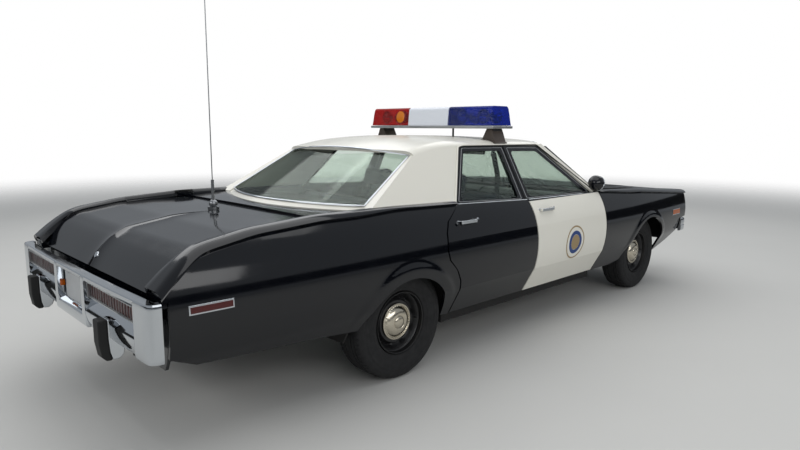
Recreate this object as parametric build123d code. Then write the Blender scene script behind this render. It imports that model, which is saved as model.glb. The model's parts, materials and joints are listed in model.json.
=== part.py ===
"""Full-size four-door patrol saloon of the 1970s, in millimetres.

X points forward, Y to the car's left and Z up; the ground is z = 0.  The origin lies midway
between the front bumper and the rear guards.
"""
from build123d import *
import math
import os

os.makedirs("parts", exist_ok=True)

# Wheels and axles
FRONT_AXLE_X = 1888
REAR_AXLE_X = -1211
TYRE_R = 342
TYRE_W = 208
RIM_R = 190
FRONT_HALF_TRACK = 788
REAR_HALF_TRACK = 805
KINGPIN_Y = 700

# Body outline, seen from the side
NOSE_X = 2775
TAIL_X = -2640
SILL_Z = 300
SIDE_HALF_W = 1000
SIDE_OUT = SIDE_HALF_W + 100
SKIN = 22
GAP = 10

# Doors, with their hinge lines at the front edges
FRONT_DOOR_X = 1040
SPLIT_X = 50
REAR_DOOR_X = -906
DOOR_INNER_Y = SIDE_HALF_W - 195
DOOR_SKIN = 48
JAMB = 25
FRAME_T = 14

# Tumblehome of the side glass: half width at the belt and at the roof rail
BELT_Y = SIDE_HALF_W - 134
BELT_Z = 985
RAIL_Y = BELT_Y - 216
RAIL_Z = 1362

# Lids
BONNET_REAR_X = 1290
BONNET_HALF_W = SIDE_HALF_W - 235
LID_FRONT_X = -1722
LID_HALF_W = SIDE_HALF_W - 188
LID_T = 22

# Roof: its peak, and its lengthwise curve ahead of and behind it
ROOF_Z = 1430
ROOF_PEAK_X = -450
ROOF_FRONT_R = 25000
ROOF_REAR_R = 1800
ROOF_T = 22


def box(x0, x1, y0, y1, z0, z1):
    """Block between two corners."""
    return Pos((x0 + x1) / 2, (y0 + y1) / 2, (z0 + z1) / 2) * Box(x1 - x0, y1 - y0, z1 - z0)


def side_prism(points, y0, y1):
    """Side-view outline of (x, z) points, carried across the car from y0 to y1."""
    face = make_face(Polyline(*[(x, y0, z) for x, z in points], close=True))
    return extrude(face, amount=y1 - y0, dir=(0, 1, 0))


def plan_prism(points, z0, z1):
    """Plan-view outline of (x, y) points, carried up from z0 to z1."""
    face = make_face(Polyline(*[(x, y, z0) for x, y in points], close=True))
    return extrude(face, amount=z1 - z0, dir=(0, 0, 1))


def cross_prism(points, x0, x1):
    """Cross-section of (y, z) points, carried along the car from x0 to x1."""
    face = make_face(Polyline(*[(x0, y, z) for y, z in points], close=True))
    return extrude(face, amount=x1 - x0, dir=(1, 0, 0))


def rod(start, end, radius):
    """Round bar between two points."""
    axis = Vector(*end) - Vector(*start)
    return extrude(Plane(origin=start, z_dir=axis) * Circle(radius), amount=axis.length)


def bent_tube(points, radius, bend):
    """Round tube along straight runs joined by arcs of one bend radius."""
    path = FilletPolyline(*points, radius=bend)
    return sweep(Plane(origin=path @ 0, z_dir=path % 0) * Circle(radius), path=path)


def across(half):
    """The same solid on both sides of the car, as one part with two solids."""
    return Compound(list(half.solids()) + list(mirror(half, about=Plane.XZ).solids()))


def joined(*pieces):
    """All the pieces fused to one part."""
    whole = pieces[0]
    for piece in pieces[1:]:
        whole = whole + piece
    return whole


def grouped(*pieces):
    """Pieces that share a node and don't touch."""
    return Compound([solid for piece in pieces for solid in piece.solids()])


# Body side: one cross-section, straight along the doors and turned in at both ends
SIDE_FOOT = (SIDE_HALF_W - 138, SILL_Z - 14)
SIDE_CREASE = (SIDE_HALF_W - 28, 485)
SIDE_WAIST = (SIDE_HALF_W, 690)
SIDE_BROW = (SIDE_HALF_W - 15, 800)
SIDE_TOP = (SIDE_HALF_W - 154, 1034)
FRONT_TURN_X = 1500
FRONT_TURN_R = 17400
REAR_TURN_X = -1300
REAR_TURN_R = 24500


def side_face(x, inset):
    """Half cross-section at x, its outer curve moved in by inset."""
    foot, crease, waist, brow, top = [
        (x, y - inset, z) for y, z in (SIDE_FOOT, SIDE_CREASE, SIDE_WAIST, SIDE_BROW, SIDE_TOP)]
    lower = Line(foot, crease)
    flank = ThreePointArc(crease, waist, brow)
    shoulder = TangentArc(brow, top, tangent=flank % 1)
    rest = Polyline(top, (x, 0, top[2]), (x, 0, foot[2]), foot)
    return make_face([lower, flank, shoulder] + list(rest.edges()))


def side_body(inset):
    """Solid left half of the lower body, inset from its skin."""
    middle = extrude(side_face(REAR_TURN_X, inset), amount=FRONT_TURN_X - REAR_TURN_X, dir=(1, 0, 0))
    front_axis = Axis((FRONT_TURN_X, SIDE_HALF_W - FRONT_TURN_R, 0), (0, 0, 1))
    front = revolve(side_face(FRONT_TURN_X, inset), axis=front_axis, revolution_arc=-5.6)
    rear_axis = Axis((REAR_TURN_X, SIDE_HALF_W - REAR_TURN_R, 0), (0, 0, 1))
    rear = revolve(side_face(REAR_TURN_X, inset), axis=rear_axis, revolution_arc=4.4)
    return joined(middle, front, rear)


OUTER_BODY = side_body(0)
SKIN_BODY = side_body(SKIN)
DOOR_BODY = side_body(DOOR_SKIN)
SIDE_SKIN = OUTER_BODY - SKIN_BODY

# Shoulder line from nose to tail, (x, z)
SHOULDER = [(NOSE_X, 858), (1764, 934), (FRONT_DOOR_X, 968), (SPLIT_X, 980), (-700, 1006), (-1259, 1018),
            (-1756, 1020), (TAIL_X + 475, 996), (TAIL_X + 210, 955), (TAIL_X + 160, 935)]


def shoulder_z(x):
    """Height of the shoulder line at x."""
    for (x1, z1), (x0, z0) in zip(SHOULDER, SHOULDER[1:]):
        if x0 <= x <= x1:
            return z0 + (z1 - z0) * (x - x0) / (x1 - x0)
    return SHOULDER[0][1] if x > SHOULDER[0][0] else SHOULDER[-1][1]


def arch(centre_x, radius, centre_z, y0, y1):
    """Wheel opening: a round top and straight legs, carried across."""
    round_top = Pos(centre_x, y0, centre_z) * Rot(-90, 0, 0) * Cylinder(
        radius, y1 - y0, align=(Align.CENTER, Align.CENTER, Align.MIN))
    legs = box(centre_x - radius, centre_x + radius, y0, y1, 0, centre_z)
    return round_top + legs


# Wheel openings and the raised crescents round them
FRONT_ARCH_R = 372
FRONT_ARCH_Z = 315
REAR_ARCH_R = 368
REAR_ARCH_Z = 262
FLARE_OUT = 10
FLARE_TOP_Z = 480


def flare(centre_x, radius, centre_z, width):
    """Raised lip round the upper part of a wheel opening."""
    ring = arch(centre_x, radius + width, centre_z, 500, SIDE_OUT) & box(-3000, 3000, 500, SIDE_OUT, FLARE_TOP_Z, 900)
    return ring & (side_body(-FLARE_OUT) - SKIN_BODY)


# Windows and doors, seen from the side
WINDOW_FRONT = [(84, 990), (925, 980), (470, 1332), (92, 1340)]
WINDOW_REAR = [(-650, 1018), (12, 990), (26, 1342), (-415, 1346)]
FRAME_FRONT = [(SPLIT_X + 6, 960), (980, 960), (488, 1351), (SPLIT_X + 8, 1356)]
FRAME_REAR = [(-700, 980), (SPLIT_X - 6, 960), (SPLIT_X - 6, 1358), (-430, 1364)]
DOOR_FRONT = [(SPLIT_X + GAP / 2, SILL_Z + 6), (FRONT_DOOR_X, SILL_Z + 6), (FRONT_DOOR_X, shoulder_z(FRONT_DOOR_X)),
              (SPLIT_X + GAP / 2, shoulder_z(SPLIT_X))]
DOOR_REAR = [(-760, SILL_Z + 6), (SPLIT_X - GAP / 2, SILL_Z + 6), (SPLIT_X - GAP / 2, shoulder_z(SPLIT_X)),
             (-700, shoulder_z(-700)), (-851, 917), (-890, 854), (REAR_DOOR_X, 752), (-890, 690), (-822, 618),
             (-775, 540), (-760, 470)]


def slab(outer, inner):
    """Leaning layer of the left side between two depths from the side glass's outer plane."""
    lean = math.hypot(BELT_Y - RAIL_Y, RAIL_Z - BELT_Z) / (RAIL_Z - BELT_Z)
    low_z, high_z = BELT_Z - 60, RAIL_Z + 20
    slope = (RAIL_Y - BELT_Y) / (RAIL_Z - BELT_Z)
    low_y = BELT_Y + slope * (low_z - BELT_Z)
    high_y = BELT_Y + slope * (high_z - BELT_Z)
    return cross_prism([(low_y - outer * lean, low_z), (high_y - outer * lean, high_z),
                        (high_y - inner * lean, high_z), (low_y - inner * lean, low_z)], -1700, 1300)


def inset_outline(points, amount):
    """The outline drawn in by amount, as a flat face in the side view."""
    face = make_face(Polyline(*[(x, 0, z) for x, z in points], close=True))
    return offset(face, amount=-amount, kind=Kind.INTERSECTION)


def door(outline, frame, window, trim_top):
    """Left door: outer skin, an inner box set in from its edges, and the window frame above."""
    skin = (OUTER_BODY - DOOR_BODY) & side_prism(outline, 600, SIDE_OUT)
    inner_face = inset_outline(outline, JAMB)
    core = extrude(inner_face, amount=SIDE_OUT, dir=(0, 1, 0)) & DOOR_BODY
    core = core & box(-1500, 1500, DOOR_INNER_Y, SIDE_OUT, 0, trim_top)
    rim = slab(0, FRAME_T) & (side_prism(frame, 0, SIDE_OUT) - side_prism(window, 0, SIDE_OUT))
    return joined(skin, core, rim)


def door_glass(window):
    """Pane in the window opening, seated against the frame's inner half."""
    return slab(5, 9) & side_prism(window, 0, SIDE_OUT)


HANDLE_IN = 52


def door_handle(x, z):
    """Pull handle on two feet, with its push button."""
    y = SIDE_HALF_W - HANDLE_IN
    grip = box(x - 85, x + 85, y + 12, y + 26, z - 9, z + 9)
    feet = joined(*[box(x + s * 70 - 12, x + s * 70 + 12, y - 30, y + 26, z - 9, z + 9) for s in (-1, 1)])
    return grip + feet


DOORS = {}
GLASS = {}
for name, outline, frame, window, grip_x, grip_z in [
        ("front", DOOR_FRONT, FRAME_FRONT, WINDOW_FRONT, 205, 905),
        ("rear", DOOR_REAR, FRAME_REAR, WINDOW_REAR, -690, 905)]:
    DOORS[name] = door(outline, frame, window, 960) + door_handle(grip_x, grip_z)
    GLASS[name] = door_glass(window)

# Fenders
FENDER = [(FRONT_DOOR_X + 8, SILL_Z), (FRONT_DOOR_X + 8, shoulder_z(FRONT_DOOR_X + 8)), (1764, 934), (NOSE_X, 858),
          (NOSE_X + 5, 700), (NOSE_X, 612), (NOSE_X - 150, 606), (NOSE_X - 165, 480), (NOSE_X - 308, 390),
          (NOSE_X - 525, SILL_Z)]


def strip(points, depth, inner_y):
    """Top flange of a body side, flat across from its inner edge out to the skin."""
    lower = [(x, z - depth) for x, z in reversed(points)]
    return OUTER_BODY & side_prism(points + lower, inner_y, SIDE_OUT)


fender_skin = SIDE_SKIN & side_prism(FENDER, 500, SIDE_OUT)
fender_top = strip([p for p in SHOULDER if p[0] >= 1700] + [(1110, 964.7)], SKIN, BONNET_HALF_W + 8)
front_flare = flare(FRONT_AXLE_X, FRONT_ARCH_R, FRONT_ARCH_Z, 60) & side_prism(FENDER, 500, SIDE_OUT)
fender = joined(fender_skin, fender_top, front_flare) - arch(FRONT_AXLE_X, FRONT_ARCH_R, FRONT_ARCH_Z, 500, SIDE_OUT)
front_fenders = across(fender)

# Quarter panels
TAIL_TOP = [p for p in SHOULDER if p[0] < -1000] + [(TAIL_X + 60, 862), (TAIL_X - 20, 788)]
QUARTER = [(-700 - GAP, shoulder_z(-700))] + TAIL_TOP + [
           (TAIL_X - 20, 772), (TAIL_X + 12, 768), (TAIL_X + 12, 500),
           (TAIL_X + 142, 440), (-1846, 404), (-770, SILL_Z),
           (-772, 470), (-787, 540), (-834, 622), (-902, 690), (REAR_DOOR_X - 12, 752), (-902, 854), (-863, 917)]
quarter_skin = SIDE_SKIN & side_prism(QUARTER, 500, SIDE_OUT)
quarter_top = strip([(-715, 1005)] + TAIL_TOP, SKIN, LID_HALF_W + 8)
quarter_top = quarter_top & side_prism(QUARTER, 500, SIDE_OUT)
rear_flare = flare(REAR_AXLE_X, REAR_ARCH_R, REAR_ARCH_Z, 100) & side_prism(QUARTER, 500, SIDE_OUT)
quarter = joined(quarter_skin, quarter_top, rear_flare) - arch(REAR_AXLE_X, REAR_ARCH_R, REAR_ARCH_Z, 500, SIDE_OUT)
# Deck between the rear window and the lid, its front edge along the window's foot
DECK_HALF_W = LID_HALF_W + 12
deck_panel = side_prism([(-1330, 1016), (LID_FRONT_X + 6, 1002), (LID_FRONT_X + 6, 988), (-1330, 1002)],
                        -DECK_HALF_W, DECK_HALF_W)
band_foot = ThreePointArc((-1366, DECK_HALF_W + 10, 900), (-1609, 0, 900), (-1366, -DECK_HALF_W - 10, 900))
under_window = make_face([band_foot] + list(Polyline(
    (-1366, -DECK_HALF_W - 10, 900), (-1200, -DECK_HALF_W - 10, 900), (-1200, DECK_HALF_W + 10, 900),
    (-1366, DECK_HALF_W + 10, 900)).edges()))
deck_panel = deck_panel - extrude(under_window, amount=300, dir=(0, 0, 1))
deck_panel = joined(deck_panel, *[box(LID_FRONT_X + 0.3, LID_FRONT_X + 40, y - 40, y + 40, 972, 995)
                                  for y in (-600, 600)])
quarter_panels = joined(quarter, mirror(quarter, about=Plane.XZ), deck_panel)

# Roof with its sail panels


def roof_sweep(outer, middle_z, inner, under_z):
    """Cross-section between two (y, z) lines, turned about axes below the car, one for each end."""
    x = ROOF_PEAK_X
    y_out, z_out = outer[-1]
    y_in, z_in = inner[-1]
    top = ThreePointArc((x, y_out, z_out), (x, 0, middle_z), (x, -y_out, z_out))
    under = ThreePointArc((x, y_in, z_in), (x, 0, under_z), (x, -y_in, z_in))
    left = Polyline(*[(x, y, z) for y, z in reversed(inner)], *[(x, y, z) for y, z in outer])
    right = Polyline(*[(x, -y, z) for y, z in outer[::-1]], *[(x, -y, z) for y, z in inner])
    face = make_face([top, under] + list(left.edges()) + list(right.edges()))
    ahead = revolve(face, axis=Axis((x, 0, ROOF_Z - ROOF_FRONT_R), (0, 1, 0)), revolution_arc=2.8)
    behind = revolve(face, axis=Axis((x, 0, ROOF_Z - ROOF_REAR_R), (0, 1, 0)), revolution_arc=-22)
    return ahead + behind


ROOF_OUTER = [(RAIL_Y + 10, RAIL_Z + 8), (RAIL_Y - 4, RAIL_Z + 25), (RAIL_Y - 50, RAIL_Z + 38)]
ROOF_INNER = [(RAIL_Y - 14, RAIL_Z + 8), (RAIL_Y - 26, RAIL_Z + 4), (RAIL_Y - 60, RAIL_Z + 16)]
ABOVE_OUTER = [(RAIL_Y + 60, RAIL_Z + 8), (RAIL_Y + 60, RAIL_Z + 198), (RAIL_Y - 50, RAIL_Z + 198)]
above_roof = roof_sweep(ABOVE_OUTER, ROOF_Z + 170, ROOF_INNER, ROOF_Z - ROOF_T)
outside_roof = roof_sweep(ABOVE_OUTER, ROOF_Z + 170, ROOF_OUTER, ROOF_Z)


ROOF_PLAN_FRONT = [(500, RAIL_Y + 50), (560, RAIL_Y - 10), (640, 360), (668, 0)]
ROOF_PLAN_REAR = [(-880, RAIL_Y + 50), (-898, RAIL_Y - 10), (-965, 360), (-990, 0)]
roof_plan = (ROOF_PLAN_FRONT + [(x, -y) for x, y in reversed(ROOF_PLAN_FRONT[:-1])]
             + [(x, -y) for x, y in ROOF_PLAN_REAR] + [(x, y) for x, y in reversed(ROOF_PLAN_REAR[:-1])])
roof_top = roof_sweep(ROOF_OUTER, ROOF_Z, ROOF_INNER, ROOF_Z - ROOF_T) & plan_prism(roof_plan, 1200, 1500)
SAIL_FOOT_X = -1425
SAIL = [(-446, 1380), (-698, shoulder_z(-698) + 0.3), (-1259, shoulder_z(-1259) + 0.3),
        (SAIL_FOOT_X, shoulder_z(SAIL_FOOT_X) + 0.3), (-905, 1322), (-885, 1330), (-750, 1357), (-600, 1374)]
sail = slab(0, 32) & side_prism(SAIL, 0, SIDE_OUT)


def glass_screen(low, high, thickness):
    """Bent pane: a ruled surface from the lower arc to the upper one, (corner x, middle x, y, corner z, middle z)."""
    sections = []
    for corner_x, middle_x, y, corner_z, middle_z in (low, high):
        rise = Vector(middle_x - corner_x, 0, middle_z - corner_z).normalized() * -thickness
        outer = ThreePointArc((corner_x, y, corner_z), (middle_x, 0, middle_z), (corner_x, -y, corner_z))
        inner = ThreePointArc(*[p + rise for p in (Vector(corner_x, y, corner_z), Vector(middle_x, 0, middle_z),
                                                   Vector(corner_x, -y, corner_z))])
        ends = [Line(outer @ 0, inner @ 0), Line(outer @ 1, inner @ 1)]
        sections.append(make_face([outer, inner] + ends))
    return loft(sections, ruled=True)


BAND_Y = DECK_HALF_W - 4
rear_band = glass_screen((-1371, -1607, BAND_Y, 1014, 1007), (-1333, -1563, BAND_Y, 1034.7, 1034.7), 14)
rear_band = rear_band & box(-1700, -1300, -DECK_HALF_W + 28, DECK_HALF_W - 28, 1000, 1100)
roof_panel = grouped(joined(roof_top, sail, mirror(sail, about=Plane.XZ)), rear_band)

# Pillars behind the doors' edges
PILLAR_A = [(994, 976), (1050, 976), (1050, 940), (1100, 940), (1064, 990), (566, 1390), (478, 1390)]
pillar_a = (slab(0, 34) & side_prism(PILLAR_A, 0, SIDE_OUT)) - above_roof
inside_doors = side_body(DOOR_SKIN + 8)
POST_Y = DOOR_INNER_Y - 15
LEAF_Y = DOOR_INNER_Y + 3
pillar_b_low = box(SPLIT_X - 18, SPLIT_X + 18, POST_Y, POST_Y + 110, SILL_Z - 7.7, 952) & inside_doors
pillar_b_low = pillar_b_low + box(SPLIT_X - 18, SPLIT_X + 18, POST_Y, POST_Y + 48, 900, 992)
pillar_b_high = slab(FRAME_T + 10, FRAME_T + 32) & side_prism(
    [(SPLIT_X - 28, 986), (SPLIT_X + 28, 986), (SPLIT_X + 24, 1390), (SPLIT_X - 24, 1390)], 0, SIDE_OUT)
pillar_b_high = pillar_b_high - above_roof
post_a = box(FRONT_DOOR_X + 10, FRONT_DOOR_X + 34, POST_Y, POST_Y + 110, SILL_Z - 7.7, 941) & inside_doors


def hinge_leaves(core_x, post_x):
    """Two fixed leaves that reach from a post to the front face of the door's inner box."""
    return joined(*[box(core_x + 0.3, post_x, LEAF_Y, LEAF_Y + 30, z - 30, z + 30) for z in (430, 800)])


post_a = post_a + hinge_leaves(FRONT_DOOR_X - JAMB, FRONT_DOOR_X + 12)
pillar_b = joined(pillar_b_low, pillar_b_high, hinge_leaves(SPLIT_X - GAP / 2 - JAMB, SPLIT_X - 16))
door_pillars = across(grouped(pillar_a, post_a, pillar_b))


windscreen = glass_screen((1025, 1215, BELT_Y - 35, 975, 975), (530, 650, RAIL_Y - 50, 1380, 1380), 12) - above_roof
rear_window = glass_screen((-1365, -1560, BELT_Y - 124, 1035, 1035), (-903, -985, RAIL_Y - 12, 1308, 1350), 14)
rear_window = rear_window - above_roof
fixed_glass = grouped(windscreen, rear_window)

# Lids
bonnet_side = [(BONNET_REAR_X, 978), (NOSE_X - 75, 882), (NOSE_X - 12, 868)]
bonnet_under = [(x, z - LID_T) for x, z in reversed(bonnet_side)]
bonnet_plate = side_prism(bonnet_side + bonnet_under, -BONNET_HALF_W, BONNET_HALF_W)
bonnet_rib = side_prism([(BONNET_REAR_X + 10, 958), (NOSE_X - 175, 870), (NOSE_X - 175, 840),
                         (BONNET_REAR_X + 60, 920)], -360, -330)
bonnet = joined(bonnet_plate, bonnet_rib, mirror(bonnet_rib, about=Plane.XZ))

LID_SIDE = [(LID_FRONT_X, 996), (TAIL_X + 450, 974), (TAIL_X + 200, 936), (TAIL_X + 120, 893), (TAIL_X + 68, 840),
            (TAIL_X + 14, 754)]
lid_under = [(TAIL_X + 36, 754), (TAIL_X + 90, 832), (TAIL_X + 138, 875), (TAIL_X + 210, 914), (TAIL_X + 454, 952),
             (LID_FRONT_X, 974)]
lid_plate = side_prism(LID_SIDE + lid_under, -LID_HALF_W, LID_HALF_W)
LID_RIDGE = [(-1960, 984), (TAIL_X + 200, 946), (TAIL_X + 118, 902), (TAIL_X + 62, 846), (TAIL_X + 34, 800),
             (TAIL_X + 50, 800), (TAIL_X + 200, 925)]
boot_lid = lid_plate + side_prism(LID_RIDGE, -26, 26)

# Antenna on the lid
ANTENNA_X = -1900
ANTENNA_Y = 40
mount_z = 989.6
antenna = joined(
    rod((ANTENNA_X, ANTENNA_Y, mount_z), (ANTENNA_X, ANTENNA_Y, mount_z + 18), 34),
    Pos(ANTENNA_X, ANTENNA_Y, mount_z + 36) * Sphere(26),
    rod((ANTENNA_X, ANTENNA_Y, mount_z + 50), (ANTENNA_X, ANTENNA_Y, mount_z + 180), 9),
    rod((ANTENNA_X, ANTENNA_Y, mount_z + 170), (ANTENNA_X, ANTENNA_Y, mount_z + 1750), 3))

# Unibody floor with sills, tunnel, rails and boot floor
SILL_BOTTOM_Z = 236
floor_plate = box(-800, 1075, -700, 700, 268, 285)
sill = box(-790, 1075, 700, DOOR_INNER_Y + 25, SILL_BOTTOM_Z, SILL_Z - 8)
tunnel = cross_prism([(-130, 285), (-95, 400), (95, 400), (130, 285)], -800, 1075)
front_rail = side_prism([(900, 268), (900, 200), (NOSE_X - 75, 400), (NOSE_X - 75, 470), (1500, 380)], 400, 470)
rear_rail = side_prism([(-700, 268), (-700, 190), (-950, 210), (-1000, 480), (-1500, 480), (-1650, 380), (TAIL_X + 40, 380),
                        (TAIL_X + 40, 450), (-1600, 450), (-1400, 545), (-900, 545), (-800, 268)], 440, 510)
boot_floor = box(TAIL_X + 27.3, -1640, -620, 620, 440, 455)
kick_up = side_prism([(-780, 268), (-780, 300), (-880, 560), (-1640, 560), (-1640, 440), (-1660, 440), (-1660, 575),
                      (-890, 575), (-800, 290), (-800, 268)], -620, 620)
nose_beam = box(NOSE_X - 135, NOSE_X - 75, -470, 470, 400, 470)
cross_beam = box(1830, 1950, -480, 480, 185, 325)
toe_board = side_prism([(1060, 275), (1075, 275), (1084, 300), (1084, 420), (1070, 420), (1070, 305)], -690, 690)
floor_pan = joined(floor_plate, sill, mirror(sill, about=Plane.XZ), tunnel, front_rail,
                   mirror(front_rail, about=Plane.XZ), rear_rail, mirror(rear_rail, about=Plane.XZ),
                   boot_floor, kick_up, nose_beam, cross_beam, toe_board)
tunnel_bore = cross_prism([(-118, 240), (-84, 388), (84, 388), (118, 240)], -910, 1090)
floor_pan = floor_pan - tunnel_bore

# Bulkhead, scuttle, inner wings and rear wheelhouses
BULKHEAD_HALF_W = DOOR_INNER_Y - 40
bulkhead = box(1085, 1105, -BULKHEAD_HALF_W, BULKHEAD_HALF_W, 312, 940) - box(1080, 1110, -60, 60, 300, 400)
scuttle = box(1105, BONNET_REAR_X - 12, 5 - BULKHEAD_HALF_W, BULKHEAD_HALF_W - 5, 936, 956)
apron_wall = box(1105, NOSE_X - 135, 480, 495, 430, 830)
apron_shelf = box(1105, NOSE_X - 135, 495, SIDE_HALF_W - 70, 760, 775)
SPLASH = [(495, 404), (SIDE_HALF_W - 140, 404), (SIDE_HALF_W - 94, 485), (SIDE_HALF_W - 70, 690),
          (SIDE_HALF_W - 78, 760), (495, 760)]
splash_panel = cross_prism(SPLASH, NOSE_X - 317, NOSE_X - 301)
apron = apron_wall + apron_shelf + splash_panel
housing = arch(REAR_AXLE_X, 405, 345, 640, SIDE_HALF_W) - arch(REAR_AXLE_X, 392, 345, 652, SIDE_OUT)
housing = housing & side_body(SKIN + 0.3) & box(-2000, 0, 0, SIDE_OUT, SILL_Z, BELT_Z)
housing = housing - box(REAR_AXLE_X - 70, REAR_AXLE_X + 70, 600, 660, 200, 480)
bonnet_hinges = [box(BONNET_REAR_X - 25, BONNET_REAR_X - 0.3, y - 35, y + 35, 940, 974) for y in (-640, 640)]
inner_panels = grouped(joined(bulkhead, scuttle, *bonnet_hinges, apron,
                              mirror(apron, about=Plane.XZ)), across(housing))

# Nose: header, grille, lamps and bumper
inside_skin = side_body(SKIN + 0.3)
nose_half = joined(box(NOSE_X - 40, NOSE_X, 0, SIDE_OUT, 800, 834),
                   box(NOSE_X - 60, NOSE_X - 40, 0, SIDE_OUT, 480, 834),
                   box(NOSE_X - 60, NOSE_X - 30, 0, 880, 480, 520)) & inside_skin
nose_panel = joined(nose_half, mirror(nose_half, about=Plane.XZ))
GRILLE_HALF_W = SIDE_HALF_W - 440
POST_PITCH = (GRILLE_HALF_W - 10) / 4
grille_bars = [box(NOSE_X - 30, NOSE_X - 12, -GRILLE_HALF_W, GRILLE_HALF_W, 574 + 26 * i, 582 + 26 * i)
               for i in range(8)]
grille_posts = [box(NOSE_X - 40, NOSE_X - 14, POST_PITCH * s - 6, POST_PITCH * s + 6, 560, 790)
                for s in range(-4, 5)]
grille = joined(*grille_posts, *grille_bars)
LAMP_R = 73
headlamps = grouped(*[Pos(NOSE_X - 26, side * y, 690) * Rot(0, 90, 0) * Cylinder(LAMP_R, 28)
                      for side in (-1, 1) for y in (SIDE_HALF_W - 345, SIDE_HALF_W - 185)])

# Number plate's holes in the front bar
PLATE_HOLE_Y = 88.9
PLATE_HOLE_Z = 535
PLATE_HOLE_R = 3.5
FRONT_BAR_X = NOSE_X + 25
FRONT_BAR_PLAN = [(FRONT_BAR_X - 160, SIDE_HALF_W - 25), (FRONT_BAR_X - 65, SIDE_HALF_W - 30),
                  (FRONT_BAR_X - 22, SIDE_HALF_W - 70), (FRONT_BAR_X - 10, 700), (FRONT_BAR_X, 130)]
FRONT_BAR_INNER = [(FRONT_BAR_X - 160, SIDE_HALF_W - 37), (FRONT_BAR_X - 88, SIDE_HALF_W - 42),
                   (FRONT_BAR_X - 46, SIDE_HALF_W - 82), (FRONT_BAR_X - 34, 690), (FRONT_BAR_X - 28, 124)]


def bumper(outer, inner, z0, z1):
    """Wrap-round bar from half of its plan, given from the end to the middle along both faces."""
    plan = outer + [(x, -y) for x, y in reversed(outer)] + [(x, -y) for x, y in inner] + inner[::-1]
    return plan_prism(plan, z0, z1)


front_bar = bumper(FRONT_BAR_PLAN, FRONT_BAR_INNER, 470, 600)
front_bar = front_bar - joined(*[rod((FRONT_BAR_X - 50, y, PLATE_HOLE_Z), (FRONT_BAR_X + 10, y, PLATE_HOLE_Z),
                                     PLATE_HOLE_R) for y in (-PLATE_HOLE_Y, PLATE_HOLE_Y)])
front_bumper = joined(front_bar, *[box(NOSE_X - 30, FRONT_BAR_X - 20, y - 15, y + 15, 490, 560)
                                   for y in (-445, 445)])

# Rear bumper: a deep shell with recesses for the lamps and the plate, a ledge under the lamps and two guards
REAR_BAR_X = TAIL_X - 105
REAR_BAR_PLAN = [(REAR_BAR_X + 81, SIDE_HALF_W - 15), (REAR_BAR_X + 46, SIDE_HALF_W - 18),
                 (REAR_BAR_X + 20, SIDE_HALF_W - 45), (REAR_BAR_X + 6, 600), (REAR_BAR_X, 260)]
REAR_BAR_INNER = [(REAR_BAR_X + 81, SIDE_HALF_W - 60), (REAR_BAR_X + 76, SIDE_HALF_W - 75),
                  (REAR_BAR_X + 72, 720), (REAR_BAR_X + 68, 600), (REAR_BAR_X + 64, 254)]
REAR_BAR_TOP_Z = 765
LEDGE_Z = 640
LAMP_MID_Y = 540
LAMP_HALF_W = 300
PLATE_HALF_W = 200
rear_shell = bumper(REAR_BAR_PLAN, REAR_BAR_INNER, 500, REAR_BAR_TOP_Z)
lamp_recess = [box(REAR_BAR_X - 40, REAR_BAR_X + 48, s * LAMP_MID_Y - LAMP_HALF_W, s * LAMP_MID_Y + LAMP_HALF_W,
                   LEDGE_Z, REAR_BAR_TOP_Z - 26) for s in (-1, 1)]
plate_recess = box(REAR_BAR_X - 40, REAR_BAR_X + 40, -PLATE_HALF_W, PLATE_HALF_W, 560, REAR_BAR_TOP_Z - 22)
LEDGE_CUT = [(REAR_BAR_X - 40, LEDGE_Z - 46), (REAR_BAR_X - 40, LEDGE_Z + 20), (REAR_BAR_X + 34, LEDGE_Z + 20),
             (REAR_BAR_X + 34, LEDGE_Z), (REAR_BAR_X + 4, LEDGE_Z - 46)]
ledge_cut = [side_prism(LEDGE_CUT, s * LAMP_MID_Y - LAMP_HALF_W, s * LAMP_MID_Y + LAMP_HALF_W) for s in (-1, 1)]
rear_bumper = rear_shell - joined(plate_recess, *lamp_recess, *ledge_cut)
rear_bumper = joined(rear_bumper, *[box(REAR_BAR_X + 55, TAIL_X + 11.7, y - 20, y + 20, 560, 620)
                                    for y in (-450, 450)])
tail_half = box(TAIL_X + 12, TAIL_X + 27, 0, SIDE_OUT, 440, 745) & inside_skin
tail_panel = joined(tail_half, mirror(tail_half, about=Plane.XZ))
tail_lamps = grouped(*[box(REAR_BAR_X + 30, REAR_BAR_X + 47.7, s * LAMP_MID_Y - LAMP_HALF_W + 10,
                           s * LAMP_MID_Y + LAMP_HALF_W - 10, LEDGE_Z + 10, REAR_BAR_TOP_Z - 32) for s in (-1, 1)])
GUARD_TIP_X = REAR_BAR_X - 55
GUARD_Y = 560
GUARD_SIDE = [(GUARD_TIP_X, 632), (GUARD_TIP_X, 520), (GUARD_TIP_X + 14, 450), (GUARD_TIP_X + 30, 432),
              (REAR_BAR_X + 20, 432), (REAR_BAR_X + 60, 470), (REAR_BAR_X + 60, 499.7), (REAR_BAR_X + 3, 499.7),
              (REAR_BAR_X + 3, 632)]
bumper_rubbers = grouped(*[side_prism(GUARD_SIDE, s * GUARD_Y - 36, s * GUARD_Y + 36) for s in (-1, 1)])
bumper_rubbers = bumper_rubbers - bumper([(x - 0.3, y) for x, y in REAR_BAR_PLAN], REAR_BAR_INNER, 499.7, 800)

marker_layer = side_body(-8) - side_body(-0.3)
side_markers = across(grouped(marker_layer & box(TAIL_X + 94, TAIL_X + 304, SIDE_HALF_W - 100, SIDE_OUT, 686, 729),
                              marker_layer & box(NOSE_X - 365, NOSE_X - 175, SIDE_HALF_W - 100, SIDE_OUT, 651, 710)))

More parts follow.
